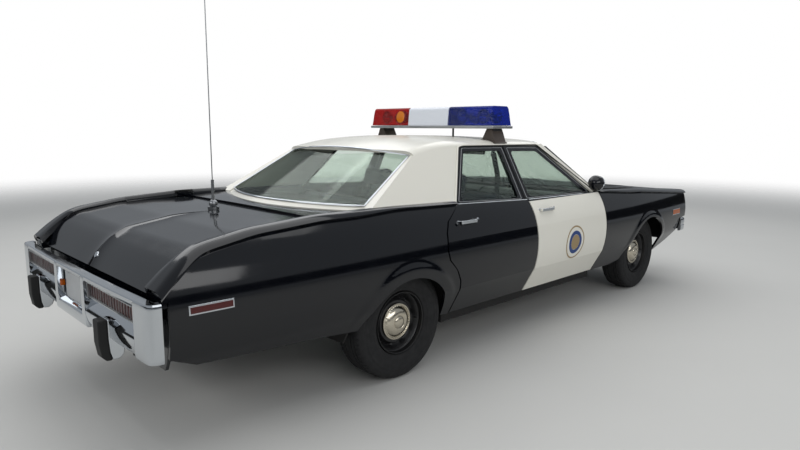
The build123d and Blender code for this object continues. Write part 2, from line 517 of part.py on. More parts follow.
# Light bar
BAR_X = 40
BAR_HALF_W = 664
BAR_DEPTH = 240
TRAY_Z = 1482
TRAY_TOP_Z = 1504
DOME_TOP_Z = 1648
DOME_LEAN = 20
SPEAKER_HALF_W = 216
FOOT_Y = 520
tray = box(BAR_X - BAR_DEPTH / 2, BAR_X + BAR_DEPTH / 2, -BAR_HALF_W, BAR_HALF_W, TRAY_Z, TRAY_TOP_Z)
feet = [cross_prism([(y - 70, 1380), (y + 70, 1380), (y + 36, TRAY_Z), (y - 36, TRAY_Z)], BAR_X - 70, BAR_X + 70)
        & outside_roof for y in (-FOOT_Y, FOOT_Y)]
lightbar_tray = joined(tray, *feet)


def dome(y_in, y_out, lean):
    """Lamp cover whose faces lean in, the outer end by lean, with round top edges."""
    half = BAR_DEPTH / 2 - 10
    foot = TRAY_TOP_Z + 0.3
    outline = [(BAR_X - half, foot), (BAR_X + half, foot), (BAR_X + half - 16, DOME_TOP_Z),
               (BAR_X - half + 16, DOME_TOP_Z)]
    ends = cross_prism([(y_in, foot), (y_out, foot), (y_out - lean, DOME_TOP_Z), (y_in, DOME_TOP_Z)],
                       BAR_X - BAR_DEPTH, BAR_X + BAR_DEPTH)
    body = side_prism(outline, -BAR_HALF_W, BAR_HALF_W) & ends
    return fillet(body.edges().group_by(Axis.Z)[-1], 18)


dome_red = dome(SPEAKER_HALF_W + 4, BAR_HALF_W - 6, DOME_LEAN)
dome_blue = mirror(dome_red, about=Plane.XZ)
speaker_housing = dome(-SPEAKER_HALF_W, SPEAKER_HALF_W, 0)

SPOT = (1022, BELT_Y + 22, 1046)
SPOT_R = 66
SPOT_SECTION = [(0, -52), (22, -50), (48, -34), (62, -8), (SPOT_R, 26), (SPOT_R, 40), (0, 46)]
spot_head = revolve(make_face(Polyline(*[(r, 0, h) for r, h in SPOT_SECTION], close=True)), axis=Axis.Z)
spot_head = Plane(origin=SPOT, z_dir=(0.93, 0.1, -0.34)).location * spot_head
spot_arm = rod(SPOT, (1062, BELT_Y - 60, 985), 12)
spotlights = across((spot_head + spot_arm) - pillar_a)


def seat(x0, x1, half_w, back_top, lean):
    """Bench: a cushion and a leaning back."""
    cushion = side_prism([(x0, 400), (x1, 430), (x1, 590), (x0 + 60, 560), (x0, 560)], -half_w, half_w)
    back = side_prism([(x0 - lean, back_top), (x0 + 110 - lean, back_top), (x0 + 140, 560), (x0, 500)],
                      -half_w, half_w)
    return cushion + back


front_seat = seat(-20, 560, DOOR_INNER_Y - 85, 1010, 190)
rear_seat = joined(side_prism([(-770, 400.3), (-240, 400.3), (-240, 560), (-300, 590), (-750, 570)], -630, 630),
                   side_prism([(-885, 590), (-770, 540), (-730, 585), (-900, 985), (-1010, 985)], -630, 630))
parcel_shelf = joined(box(-1625, -1015, -640, 640, 975, 988),
                      side_prism([(-1015, 975), (-1030, 975), (-915, 580), (-900, 580)], -630, 630))
DASH_HALF_W = DOOR_INNER_Y - 35
dashboard = side_prism([(900, 700), (820, 740), (800, 900), (850, 950), (1020, 950), (1084.7, 900), (1084.7, 700)],
                       -DASH_HALF_W, DASH_HALF_W)
wheel_plane = Plane(origin=(640, 380, 830), z_dir=(-0.9, 0, 0.45))
steering_rim = wheel_plane * Torus(195, 13)
steering_spokes = wheel_plane * Box(380, 40, 14)
column = rod((640, 380, 830), (880, 380, 712), 26)
steering_wheel = joined(steering_rim, steering_spokes, column)
dashboard = dashboard - rod((640, 380, 830), (960, 380, 674.3), 27)

engine = box(1150, 2050, -260, 260, 325.3, 800)
fuel_tank = box(-2450, -1720, -330, 430, 250, 439.7)
PIPE_Z = 268 - 0.3 - 26
exhaust = across(bent_tube([(1150, 300, PIPE_Z), (200, 300, PIPE_Z), (-850, 360, PIPE_Z)], 26, 150))
WHEEL_FACE = 40
SEAT_GAP = 0.3
hub_y = REAR_HALF_TRACK + WHEEL_FACE - SEAT_GAP
spring = side_prism([(-965.3, 290), (-1211, 288), (-1790, 366), (-1790, 379.7), (-1211, 301.8), (-967.8, 304)],
                    445, 505)
spring = spring + box(REAR_AXLE_X - 40, REAR_AXLE_X + 40, 445, 505, 290, 330)
brake = rod((REAR_AXLE_X, 704, TYRE_R), (REAR_AXLE_X, REAR_HALF_TRACK - 4, TYRE_R), 120)
rear_axle = joined(rod((REAR_AXLE_X, -hub_y, TYRE_R), (REAR_AXLE_X, hub_y, TYRE_R), 40),
                   Pos(REAR_AXLE_X, 0, TYRE_R) * Sphere(130),
                   rod((REAR_AXLE_X, 0, TYRE_R), (1149.7, 0, 350), 32),
                   spring, mirror(spring, about=Plane.XZ), brake, mirror(brake, about=Plane.XZ))
ARM_TOP_Z = 475
ARM_LOW_Z = 2 * TYRE_R - ARM_TOP_Z
front_suspension = across(grouped(box(FRONT_AXLE_X - 45, FRONT_AXLE_X + 45, 480.3, 722, ARM_LOW_Z - 22, ARM_LOW_Z),
                                  box(FRONT_AXLE_X - 45, FRONT_AXLE_X + 45, 495.3, 722, ARM_TOP_Z, ARM_TOP_Z + 20)))


def tyre_solid(y):
    """Tyre on a transverse axle, as one turned section."""
    half = TYRE_W / 2
    section = [(RIM_R, -half + 12), (RIM_R + 60, -half), (TYRE_R - 30, -half + 4), (TYRE_R, -half + 26),
               (TYRE_R, half - 26), (TYRE_R - 30, half - 4), (RIM_R + 60, half), (RIM_R, half - 12)]
    face = make_face(Polyline(*[(r, w, 0) for r, w in section], close=True))
    return revolve(face, axis=Axis.Y)


def wheel_solid():
    """Steel wheel with its cap outwards (+Y)."""
    half = TYRE_W / 2
    section = [(RIM_R - 0.3, -half + 14), (RIM_R - 0.3, half - 14), (RIM_R - 16, half - 14), (RIM_R - 26, 20),
               (150, 30), (120, 55), (0, 62), (0, 40), (110, 40), (140, 12), (RIM_R - 34, 6),
               (RIM_R - 20, -half + 14)]
    face = make_face(Polyline(*[(r, w, 0) for r, w in section], close=True))
    return revolve(face, axis=Axis.Y)


def knuckle_solid(side):
    """Upright with its drum, inside the wheel."""
    y = FRONT_HALF_TRACK
    upright = box(FRONT_AXLE_X - 25, FRONT_AXLE_X + 25, KINGPIN_Y - 30, KINGPIN_Y + 12,
                  ARM_LOW_Z + SEAT_GAP, ARM_TOP_Z - SEAT_GAP)
    drum = rod((FRONT_AXLE_X, KINGPIN_Y + 12, TYRE_R), (FRONT_AXLE_X, y - 4, TYRE_R), 120)
    hub = rod((FRONT_AXLE_X, KINGPIN_Y, TYRE_R), (FRONT_AXLE_X, y + WHEEL_FACE - SEAT_GAP, TYRE_R), 40)
    whole = joined(upright, drum, hub)
    return whole if side > 0 else mirror(whole, about=Plane.XZ)


nodes = {
    "floor_pan": floor_pan, "inner_panels": inner_panels, "front_fenders": front_fenders,
    "quarter_panels": quarter_panels, "roof_panel": roof_panel, "door_pillars": door_pillars,
    "fixed_glass": fixed_glass, "nose_panel": nose_panel, "grille": grille, "headlamps": headlamps,
    "front_bumper": front_bumper, "tail_panel": tail_panel, "tail_lamps": tail_lamps,
    "rear_bumper": rear_bumper, "bumper_rubbers": bumper_rubbers, "side_markers": side_markers,
    "lightbar_tray": lightbar_tray, "dome_red": dome_red, "dome_blue": dome_blue,
    "speaker_housing": speaker_housing, "spotlights": spotlights, "front_seat": front_seat,
    "rear_seat": rear_seat, "parcel_shelf": parcel_shelf, "dashboard": dashboard,
    "steering_wheel": steering_wheel, "engine": engine, "fuel_tank": fuel_tank, "exhaust": exhaust,
    "rear_axle": rear_axle, "front_suspension": front_suspension, "bonnet": bonnet,
    "boot_lid": boot_lid, "antenna": antenna,
    "knuckle_left": knuckle_solid(1), "knuckle_right": knuckle_solid(-1)}
for end in ("front", "rear"):
    nodes[f"door_{end}_left"] = DOORS[end]
    nodes[f"door_{end}_right"] = mirror(DOORS[end], about=Plane.XZ)
    nodes[f"glass_{end}_left"] = GLASS[end]
    nodes[f"glass_{end}_right"] = mirror(GLASS[end], about=Plane.XZ)
for corner, x, y in [("front_left", FRONT_AXLE_X, FRONT_HALF_TRACK), ("front_right", FRONT_AXLE_X, -FRONT_HALF_TRACK),
                     ("rear_left", REAR_AXLE_X, REAR_HALF_TRACK), ("rear_right", REAR_AXLE_X, -REAR_HALF_TRACK)]:
    turn = Pos(x, y, TYRE_R) * (Rot(0, 0, 0) if y > 0 else Rot(0, 0, 180))
    nodes[f"tyre_{corner}"] = turn * tyre_solid(y)
    nodes[f"wheel_{corner}"] = turn * wheel_solid()

for name, shape in nodes.items():
    export_step(shape if isinstance(shape, Compound) else Compound(list(shape.solids())), f"parts/{name}.step")
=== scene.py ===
"""Looks of the full-size patrol saloon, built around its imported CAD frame.

Everything is in metres in the frame of the CAD: +X to the car's front, +Y to its left, +Z up.
"""
import json
import math

import bmesh
import bpy
import numpy as np
from mathutils import Matrix, Vector
from mathutils.geometry import delaunay_2d_cdt


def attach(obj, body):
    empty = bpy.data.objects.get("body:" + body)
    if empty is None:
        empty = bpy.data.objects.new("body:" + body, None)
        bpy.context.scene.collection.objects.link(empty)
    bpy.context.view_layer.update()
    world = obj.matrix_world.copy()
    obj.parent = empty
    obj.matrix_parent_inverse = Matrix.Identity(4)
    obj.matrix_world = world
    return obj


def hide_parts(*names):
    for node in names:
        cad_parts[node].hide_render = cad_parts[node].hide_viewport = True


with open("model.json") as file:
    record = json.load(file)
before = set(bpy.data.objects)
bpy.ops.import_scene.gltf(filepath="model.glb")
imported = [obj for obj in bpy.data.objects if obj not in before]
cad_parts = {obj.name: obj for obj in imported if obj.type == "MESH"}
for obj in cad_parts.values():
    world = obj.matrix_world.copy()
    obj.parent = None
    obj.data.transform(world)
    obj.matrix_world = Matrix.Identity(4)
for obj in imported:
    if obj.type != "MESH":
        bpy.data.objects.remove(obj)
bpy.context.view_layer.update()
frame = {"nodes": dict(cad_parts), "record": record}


# ------------------------------------------------------------------ materials
def linear(code):
    """Linear colour of an sRGB hex code."""
    out = []
    for i in (0, 2, 4):
        c = int(code[i:i + 2], 16) / 255
        out.append(c / 12.92 if c <= 0.04045 else ((c + 0.055) / 1.055) ** 2.4)
    return (*out, 1)


def add(tree, kind, inputs=None, **settings):
    """A node of that kind, with values or links set on its sockets."""
    node = tree.nodes.new(kind)
    for key, value in settings.items():
        setattr(node, key, value)
    for key, value in (inputs or {}).items():
        socket = node.inputs[key]
        if isinstance(value, bpy.types.NodeSocket):
            tree.links.new(value, socket)
        else:
            socket.default_value = value
    return node


def material(name, colour, rough=0.4, metal=0.0, coat=0.0, vary=0.0, vary_mm=250, rough_vary=0.0,
             rough_mm=33, bump=0.0, grain_mm=5, **sockets):
    """Shader with cloudy colour change, uneven gloss and fine relief, all laid on object coordinates; vary_mm,
    rough_mm and grain_mm are the sizes of one cloud, smear and grain."""
    mat = bpy.data.materials.new(name)
    mat.use_nodes = True
    tree = mat.node_tree
    shader = tree.nodes["Principled BSDF"]
    shader.inputs["Base Color"].default_value = linear(colour)
    shader.inputs["Roughness"].default_value = rough
    shader.inputs["Metallic"].default_value = metal
    shader.inputs["Coat Weight"].default_value = coat
    shader.inputs["Coat Roughness"].default_value = 0.04
    for key, value in sockets.items():
        shader.inputs[key].default_value = value
    where = add(tree, "ShaderNodeTexCoord").outputs["Object"]
    if vary:
        cloud = add(tree, "ShaderNodeTexNoise", {"Vector": where, "Scale": 1000 / vary_mm, "Detail": 6.0})
        base = linear(colour)
        dark = tuple(c * (1 - vary) for c in base[:3]) + (1,)
        mix = add(tree, "ShaderNodeMix", {"Factor": cloud.outputs["Fac"]}, data_type="RGBA")
        mix.inputs[6].default_value = dark
        mix.inputs[7].default_value = base
        tree.links.new(mix.outputs[2], shader.inputs["Base Color"])
    if rough_vary:
        smear = add(tree, "ShaderNodeTexNoise", {"Vector": where, "Scale": 1000 / rough_mm, "Detail": 8.0})
        span = add(tree, "ShaderNodeMapRange", {"Value": smear.outputs["Fac"], "From Min": 0.3, "From Max": 0.7,
                                                "To Min": rough, "To Max": rough + rough_vary})
        tree.links.new(span.outputs["Result"], shader.inputs["Roughness"])
    if bump:
        grain = add(tree, "ShaderNodeTexNoise", {"Vector": where, "Scale": 1000 / grain_mm, "Detail": 4.0})
        relief = add(tree, "ShaderNodeBump", {"Height": grain.outputs["Fac"], "Strength": bump, "Distance": 0.001})
        tree.links.new(relief.outputs["Normal"], shader.inputs["Normal"])
    return mat


# Gloss black enamel, deep and slightly uneven
BLACK = material("black_enamel", "07090F", 0.07, vary=0.3, rough_vary=0.05, rough_mm=111, bump=0.02, grain_mm=200)
# Gloss white enamel of the roof and front doors, a little warm
WHITE_HEX = "E4E1D6"
WHITE = material("white_enamel", WHITE_HEX, 0.2, vary=0.03, vary_mm=500, rough_vary=0.06, rough_mm=167)
# Bright nickel-chrome plate with faint wipe marks
CHROME = material("chrome_plate", "C4C8CC", 0.05, metal=1.0, vary=0.06, rough_vary=0.06, rough_mm=83)
# Stamped stainless of the hub caps, bright but a little warm and worn
CAP_STEEL = material("cap_stainless", "CFC7B6", 0.14, metal=1.0, vary=0.12, rough_vary=0.15)
# Brushed or satin stainless trim
SATIN = material("satin_trim", "B9BBBC", 0.28, metal=1.0, vary=0.1, rough_vary=0.15)
# Semi-gloss black wheel paint with road dust
WHEEL_BLACK = material("wheel_black", "131315", 0.38, coat=0.2, vary=0.35, rough_vary=0.2, bump=0.1)
# Dull undercoat with dirt
UNDERCOAT = material("undercoat", "1E1D1C", 0.85, vary=0.4, vary_mm=111, bump=0.5, grain_mm=8.3)
# Dark brown painted steel of the light bar's feet
BROWN = material("brown_steel", "44382F", 0.42, coat=0.3, vary=0.25, rough_vary=0.2, bump=0.1)
# Moulded tyre rubber, greyed by dust
TYRE = material("tyre_rubber", "1B1B1C", 0.78, vary=0.3, vary_mm=83, rough_vary=0.15, bump=0.3, grain_mm=2.5)
# Matt black rubber seals
RUBBER = material("black_rubber", "101010", 0.7, vary=0.2, bump=0.2, grain_mm=2)
# Grained black plastic
PLASTIC = material("black_plastic", "17181A", 0.55, vary=0.15, bump=0.4, grain_mm=1.1)
# Matt decal film of the bare roundel, in two colours
TAN = material("tan_film", "9C8660", 0.5, vary=0.1)
NAVY = material("navy_film", "1D3F7C", 0.5, vary=0.1)
# Blank enamelled plate
PLATE = material("blank_plate", "A9ABAC", 0.35, vary=0.08, rough_vary=0.1, bump=0.05)
# Silvered plastic of the speaker housing
SILVER = material("silver_plastic", "DDE1E8", 0.22, vary=0.03, vary_mm=333)
# Deep blue-black seat vinyl, grained
VINYL = material("seat_vinyl", "161C2E", 0.5, vary=0.2, bump=0.5, grain_mm=1.7)
# Felt-faced trim board
FELT = material("trim_board", "1A1B1D", 0.9, vary=0.25, bump=0.4, grain_mm=1.1)
# Painted iron of the engine, axle and arms, rough from the mould
IRON = material("engine_iron", "2E2E2F", 0.6, metal=0.3, vary=0.35, rough_vary=0.2, bump=0.5, grain_mm=11)
# Dull bare steel of pipes and tank
STEEL = material("bare_steel", "7A7976", 0.42, metal=0.9, vary=0.3, rough_vary=0.25, bump=0.15)
# Stainless whip
WHIP = material("antenna_steel", "8D8F91", 0.3, metal=1.0, vary=0.1)


def glass(name, colour, rough=0.02, see=0.9, clear=0.0, **extra):
    """Tinted pane: a share of it plain see-through, the rest refracting with a clear gloss."""
    mat = material(name, colour, rough, **extra)
    shader = mat.node_tree.nodes["Principled BSDF"]
    shader.inputs["Transmission Weight"].default_value = see
    shader.inputs["IOR"].default_value = 1.5
    if clear:
        tree = mat.node_tree
        plain = add(tree, "ShaderNodeBsdfTransparent", {"Color": linear(colour)})
        blend = add(tree, "ShaderNodeMixShader", {0: clear, 1: shader.outputs[0], 2: plain.outputs[0]})
        tree.links.new(blend.outputs[0], tree.nodes["Material Output"].inputs["Surface"])
    return mat


# Green-tinted safety glass
GLASS = glass("tinted_glass", "EDF3EE", 0.0, 1.0, 0.86)
# Fluted clear lamp glass
LENS = glass("lamp_glass", "F2F5F5", 0.05, 0.9, 0.5)
# Red plastic of the tail lamps and markers, nearly black where no light comes through
RED = glass("red_lens", "560806", 0.14, 0.3, vary=0.2)
# Blue dome plastic, clear enough to show the lamps behind it
BLUE = glass("blue_lens", "2A4CB4", 0.06, 0.6, 0.65)
# Red dome plastic, as clear as the blue
DOME_RED = glass("red_dome", "C4201A", 0.06, 0.6, 0.65)
# Amber marker plastic
AMBER = glass("amber_lens", "D86A12", 0.12, 0.35, vary=0.2)
# Amber lamp glass let into the red dome
AMBER_LAMP = glass("amber_dome", "F08A1C", 0.15, 0.2, vary=0.3)

FINISH = {"black_paint": BLACK, "white_paint": WHITE, "wheel_paint": WHEEL_BLACK, "underbody": UNDERCOAT,
          "brown_steel": BROWN, "chrome": CHROME, "tinted_glass": GLASS, "lamp_glass": LENS, "red_lens": RED,
          "blue_lens": BLUE, "silver_plastic": SILVER, "black_rubber": RUBBER, "black_plastic": PLASTIC,
          "seat_vinyl": VINYL, "trim_board": FELT, "engine_iron": IRON, "bare_steel": STEEL,
          "antenna_steel": WHIP, "tyre_rubber": TYRE}
for subpart in frame["record"]["subparts"]:
    node = frame["nodes"][subpart["node"]]
    node.data.materials.clear()
    node.data.materials.append(FINISH[subpart["material_slot"]])


# ------------------------------------------------------------------ shape tools
def mesh_piece(name, shape, body, finish, stands_for=(), smooth=35, bevel=0.0, merge=1e-6):
    """Closed mesh that rides on a body, with seams welded, faces turned outwards and edges softened."""
    verts, faces = shape
    mesh = bpy.data.meshes.new(name)
    mesh.from_pydata(np.asarray(verts, dtype=float).tolist(), [], [tuple(int(i) for i in f) for f in faces])
    build = bmesh.new()
    build.from_mesh(mesh)
    bmesh.ops.remove_doubles(build, verts=build.verts, dist=merge)
    bmesh.ops.dissolve_degenerate(build, edges=build.edges, dist=merge)
    bmesh.ops.recalc_face_normals(build, faces=build.faces)
    build.to_mesh(mesh)
    build.free()
    mesh.materials.append(finish)
    mesh.shade_smooth()
    mesh.set_sharp_from_angle(angle=math.radians(smooth))
    obj = bpy.data.objects.new(name, mesh)
    bpy.context.scene.collection.objects.link(obj)
    if bevel:
        soft = obj.modifiers.new("soft_edges", "BEVEL")
        soft.width, soft.segments, soft.limit_method = bevel, 2, "ANGLE"
        soft.angle_limit = math.radians(40)
        soft.harden_normals = True
    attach(obj, body)
    if stands_for:
        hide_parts(*stands_for)
    return obj


def together(*shapes):
    """Several shapes as one."""
    verts, faces, start = [], [], 0
    for v, f in shapes:
        verts.append(np.asarray(v, dtype=float))
        faces += [tuple(i + start for i in face) for face in f]
        start += len(v)
    return np.concatenate(verts), faces


def flipped(shape):
    """The same shape on the car's other side."""
    return shape[0] * (1, -1, 1), shape[1]


def both(shape):
    """The shape and its mirror image as one."""
    return together(shape, flipped(shape))


def grid(points, wrap_u=False, wrap_v=False):
    """Quads over a lattice of points, joined round in either direction if asked."""
    nu, nv = points.shape[:2]
    i, j = np.meshgrid(np.arange(nu if wrap_u else nu - 1), np.arange(nv if wrap_v else nv - 1), indexing="ij")
    k, m = (i + 1) % nu, (j + 1) % nv
    quads = np.stack([i * nv + j, k * nv + j, k * nv + m, i * nv + m], axis=2).reshape(-1, 4)
    return points.reshape(-1, 3), [tuple(q) for q in quads.tolist()]


CAR_MIDDLE = np.array((0, 0, 0.7))


def capped(shape, n):
    """A grid with flat ends: its first and last rows, of n points each, closed."""
    last = len(shape[0]) - n
    return shape[0], shape[1] + [tuple(range(n)), tuple(range(last, last + n))]


def sheet(x, y, z, wrap_u=False, wrap_v=False):
    """Grid of points from three arrays that spread over each other."""
    return grid(np.stack(np.broadcast_arrays(x, y, z), axis=2), wrap_u, wrap_v)


def parabola(start, middle, end, t):
    """Curve from start to end that leaves and arrives towards the middle point."""
    return (1 - t) ** 2 * start + 2 * t * (1 - t) * middle + t ** 2 * end


def thick(shape, depth):
    """Sheet made solid: its copy moved in by depth, away from the side that faces out of the car, and walls
    along every open edge."""
    verts, faces = np.asarray(shape[0], dtype=float), shape[1]
    keys = np.round(verts, 6)
    _, first, back = np.unique(keys, axis=0, return_index=True, return_inverse=True)
    back = np.asarray(back).ravel()
    verts = verts[first]
    clean = []
    for face in faces:
        face = [int(back[i]) for i in face]
        face = [f for i, f in enumerate(face) if f != face[i - 1]]
        if len(face) > 2:
            clean.append(tuple(face))
    normals = np.zeros_like(verts)
    edges, facing = {}, 0.0
    for face in clean:
        ring = verts[list(face)]
        cross = np.cross(ring - ring[0], np.roll(ring, -1, axis=0) - ring[0]).sum(axis=0)
        facing += float(cross @ (ring.mean(axis=0) - CAR_MIDDLE))
        for i, f in enumerate(face):
            normals[f] += cross
            pair = (face[i - 1], f)
            edges[pair] = edges.get(pair, 0) + 1
    normals /= (np.linalg.norm(normals, axis=1)[:, None] + 1e-12) * math.copysign(1, facing)
    count = len(verts)
    walls = [(b, a, a + count, b + count) for a, b in edges if (b, a) not in edges]
    inner = [tuple(i + count for i in reversed(face)) for face in clean]
    return np.concatenate([verts, verts - normals * depth]), clean + inner + walls


def lathe(profile, centre, axis, n=72, ripple=None):
    """Surface turned from (along, radius) points about an axis; ripple changes both by the angle."""
    along = Vector(axis).normalized()
    side = along.orthogonal().normalized()
    other = np.array(along.cross(side))
    turn = np.linspace(0, 2 * math.pi, n, endpoint=False)[:, None]
    a, r = np.array(profile, dtype=float).T[:, None, :].repeat(n, axis=1)
    if ripple:
        a, r = ripple(turn, a, r)
    points = (np.array(centre) + a[..., None] * np.array(along) + (r * np.cos(turn))[..., None] * np.array(side)
              + (r * np.sin(turn))[..., None] * other)
    return grid(points, wrap_u=True)


def tube(path, across, high=None, up=(0, 0, 1), n=10, closed=False):
    """Oval bar along a path, half widths across and high, up near its high side; flat ends, or joined round."""
    path = np.array(path, dtype=float)
    high = across if high is None else high
    if closed:
        way = np.roll(path, -1, axis=0) - np.roll(path, 1, axis=0)
    else:
        way = np.gradient(path, axis=0)
    way /= np.linalg.norm(way, axis=1)[:, None]
    up = np.broadcast_to(np.array(up, dtype=float), path.shape)
    side = np.cross(way, up)
    side /= np.linalg.norm(side, axis=1)[:, None]
    rise = np.cross(side, way)
    turn = np.linspace(0, 2 * math.pi, n, endpoint=False)
    ring = np.cos(turn)[None, :, None] * side[:, None] * across + np.sin(turn)[None, :, None] * rise[:, None] * high
    shape = grid(path[:, None] + ring, wrap_u=closed, wrap_v=True)
    return shape if closed else capped(shape, n)


def prism(outline, low, high, axis):
    """Flat outline carried between two depths along axis 0, 1 or 2; its points hold the other two coordinates."""
    outline = np.array(outline, dtype=float)
    ends = [np.insert(outline, axis, depth, axis=1) for depth in (low, high)]
    n = len(outline)
    walls = [(i, (i + 1) % n, n + (i + 1) % n, n + i) for i in range(n)]
    return np.concatenate(ends), walls + [tuple(range(n)), tuple(range(n, 2 * n))]


def block(low, high):
    """Box between two corners."""
    (x0, y0, z0), (x1, y1, z1) = low, high
    return prism([(x0, y0), (x1, y0), (x1, y1), (x0, y1)], z0, z1, 2)


def resampled(points, step, closed=False):
    """Points every step or less along a line, its corners kept."""
    points = [np.array(p, dtype=float) for p in points]
    ends = zip(points, points[1:] + points[:1]) if closed else zip(points, points[1:])
    out = []
    for a, b in ends:
        n = max(1, math.ceil(np.linalg.norm(b - a) / step))
        out += [a + (b - a) * k / n for k in range(n)]
    return np.array(out if closed else out + [points[-1]])


def softened(points, reach, step=0.01):
    """Line through points with its corners rounded: a moving average over reach each way, its ends kept."""
    line = resampled(points, step)
    window = max(1, round(reach / step))
    padded = np.concatenate([[2 * line[0] - line[k] for k in range(window, 0, -1)], line,
                             [2 * line[-1] - line[-1 - k] for k in range(1, window + 1)]])
    kernel = np.ones(2 * window + 1) / (2 * window + 1)
    return np.stack([np.convolve(padded[:, i], kernel, "valid") for i in range(line.shape[1])], axis=1)


def patch(outline, step):
    """Outline of 2-D points filled with a square lattice and its triangles."""
    ring = resampled(outline, 1.4 * step, closed=True)
    low, high = ring.min(axis=0), ring.max(axis=0)
    u, v = np.meshgrid(np.arange(low[0], high[0], step), np.arange(low[1], high[1], step))
    spots = np.stack([u.ravel(), v.ravel()], axis=1)
    after = np.roll(ring, -1, axis=0)
    inside = np.zeros(len(spots), dtype=bool)
    near = np.full(len(spots), 9.0)
    for a, b in zip(ring, after):
        crosses = (a[1] > spots[:, 1]) != (b[1] > spots[:, 1])
        with np.errstate(divide="ignore", invalid="ignore"):
            where = a[0] + (spots[:, 1] - a[1]) * (b[0] - a[0]) / (b[1] - a[1])
        inside ^= crosses & (spots[:, 0] < where)
        near = np.minimum(near, np.linalg.norm(spots - a, axis=1))
    spots = spots[inside & (near > 0.6 * step)]
    points = np.concatenate([ring, spots])
    n = len(ring)
    edges = [(i, (i + 1) % n) for i in range(n)]
    _, _, faces, given, _, _ = delaunay_2d_cdt([Vector(p) for p in points], edges, [], 1, 1e-7)
    return points[[ids[0] for ids in given]], [tuple(f) for f in faces]


def smoothstep(t):
    """0 below 0, 1 above 1, and a soft S between."""
    t = np.clip(t, 0, 1)
    return t * t * (3 - 2 * t)


# ------------------------------------------------------------------ body side
FOOT, CREASE, WAIST, BROW, TOP = (0.862, 0.286), (0.972, 0.485), (1.0, 0.690), (0.985, 0.8), (0.846, 1.034)


def circle_through(a, b, c):
    """Centre and radius of the circle through three points."""
    (ax, ay), (bx, by), (cx, cy) = a, b, c
    d = 2 * (ax * (by - cy) + bx * (cy - ay) + cx * (ay - by))
    sa, sb, sc = ax * ax + ay * ay, bx * bx + by * by, cx * cx + cy * cy
    x = (sa * (by - cy) + sb * (cy - ay) + sc * (ay - by)) / d
    y = (sa * (cx - bx) + sb * (ax - cx) + sc * (bx - ax)) / d
    return x, y, math.hypot(ax - x, ay - y)


FLANK = circle_through(CREASE, WAIST, BROW)
BROW_IN = (np.array(FLANK[:2]) - BROW) / FLANK[2]
BROW_TO_TOP = np.array(TOP) - BROW
SHOULDER_R = float(BROW_TO_TOP @ BROW_TO_TOP / (2 * BROW_TO_TOP @ BROW_IN))
SHOULDER_AT = np.array(BROW) + SHOULDER_R * BROW_IN
FRONT_TURN, REAR_TURN = (1.5, 17.4), (-1.3, 24.5)


def half_width(x, z):
    """Body side: a line from foot to crease, an arc through the waist to the brow and a tangent arc to the
    top; ahead of and behind the doors it turns in along wide circles in plan."""
    z = np.asarray(z, dtype=float)
    low = FOOT[0] + (CREASE[0] - FOOT[0]) * (z - FOOT[1]) / (CREASE[1] - FOOT[1])
    flank = FLANK[0] + np.sqrt(np.maximum(FLANK[2] ** 2 - (z - FLANK[1]) ** 2, 0))
    upper = SHOULDER_AT[0] + np.sqrt(np.maximum(SHOULDER_R ** 2 - (z - SHOULDER_AT[1]) ** 2, 0))
    y = np.where(z < CREASE[1], low, np.where(z < BROW[1], flank, upper))
    for turn_x, radius in (FRONT_TURN, REAR_TURN):
        past = np.maximum(x - turn_x, 0) if turn_x > 0 else np.maximum(turn_x - x, 0)
        y = 1 - radius + np.sqrt((radius - 1 + y) ** 2 - past ** 2)
    return y


FLARE_OUT = 0.0098


def flare(x, z, centre_x, centre_z, radius, width):
    """Raised crescent round a wheel opening: flat for half its width, then an S down to the side."""
    away = np.hypot(x - centre_x, z - centre_z) - radius
    return FLARE_OUT * (1 - smoothstep((away - 0.5 * width) / (0.5 * width))) * smoothstep((z - 0.36) / 0.2)


SHOULDER = softened([(2.775, 0.858), (1.764, 0.934), (1.04, 0.968), (0.05, 0.98), (-0.7, 1.006), (-1.259, 1.018),
                     (-1.756, 1.02), (-2.165, 0.996), (-2.43, 0.955), (-2.48, 0.935), (-2.58, 0.862),
                     (-2.66, 0.788)], 0.05)[::-1]


def shoulder_z(x):
    """Height of the shoulder line."""
    return np.interp(x, SHOULDER[:, 0], SHOULDER[:, 1])


def side_panel(front_edge, rear_edge, x_front, x_rear, inner_y, arch, crest):
    """Outer panel of the left side: flank mapped by half_width plus its flare, a crest rolled over by a
    parabola between flank and top (8 mm by the doors, growing to crest), and a flat top in to inner_y. Edges are
    (x, z) points, from the top down on the front and from the bottom up on the rear; arch is (x, z, radius, flare
    width, start, stop)."""
    ax, az, radius, width, start, stop = arch
    spread = np.linspace(x_front, x_rear, round((x_front - x_rear) / 0.015) + 1)
    roll = 0.008 + (crest - 0.008) * smoothstep((np.abs(spread) - 1.1) / 0.5)
    top = [(x, float(shoulder_z(x)) - r) for x, r in zip(spread[::-1], roll[::-1])]
    around = [(ax + radius * math.cos(t), az + radius * math.sin(t))
              for t in np.radians(np.linspace(start, stop, 70))]
    outline = top + front_edge + around + rear_edge
    flat, faces = patch(outline, 0.015)
    x, z = flat[:, 0], flat[:, 1]
    skin = np.stack([x, half_width(x, z) + flare(x, z, ax, az, radius, width), z], axis=1)
    x = spread[:, None]
    high = shoulder_z(x)
    t = np.linspace(0, 1, 9)[None, :]
    crest = roll[:, None]
    y0, y1 = half_width(x, high - crest), half_width(x, high)
    y2 = y1 - 1.3 * crest
    roll_y, roll_z = parabola(y0, y1, y2, t), parabola(high - crest, high, high, t)
    k = np.linspace(0, 1, 6)[None, 1:]
    flat_y = y2 + (inner_y - y2) * k
    y = np.concatenate([roll_y, flat_y, np.full_like(high, inner_y)], axis=1)
    z = np.concatenate([roll_z, high + 0 * k, high - 0.02], axis=1)
    return thick(together((skin, faces), sheet(x, y, z)), 0.02)


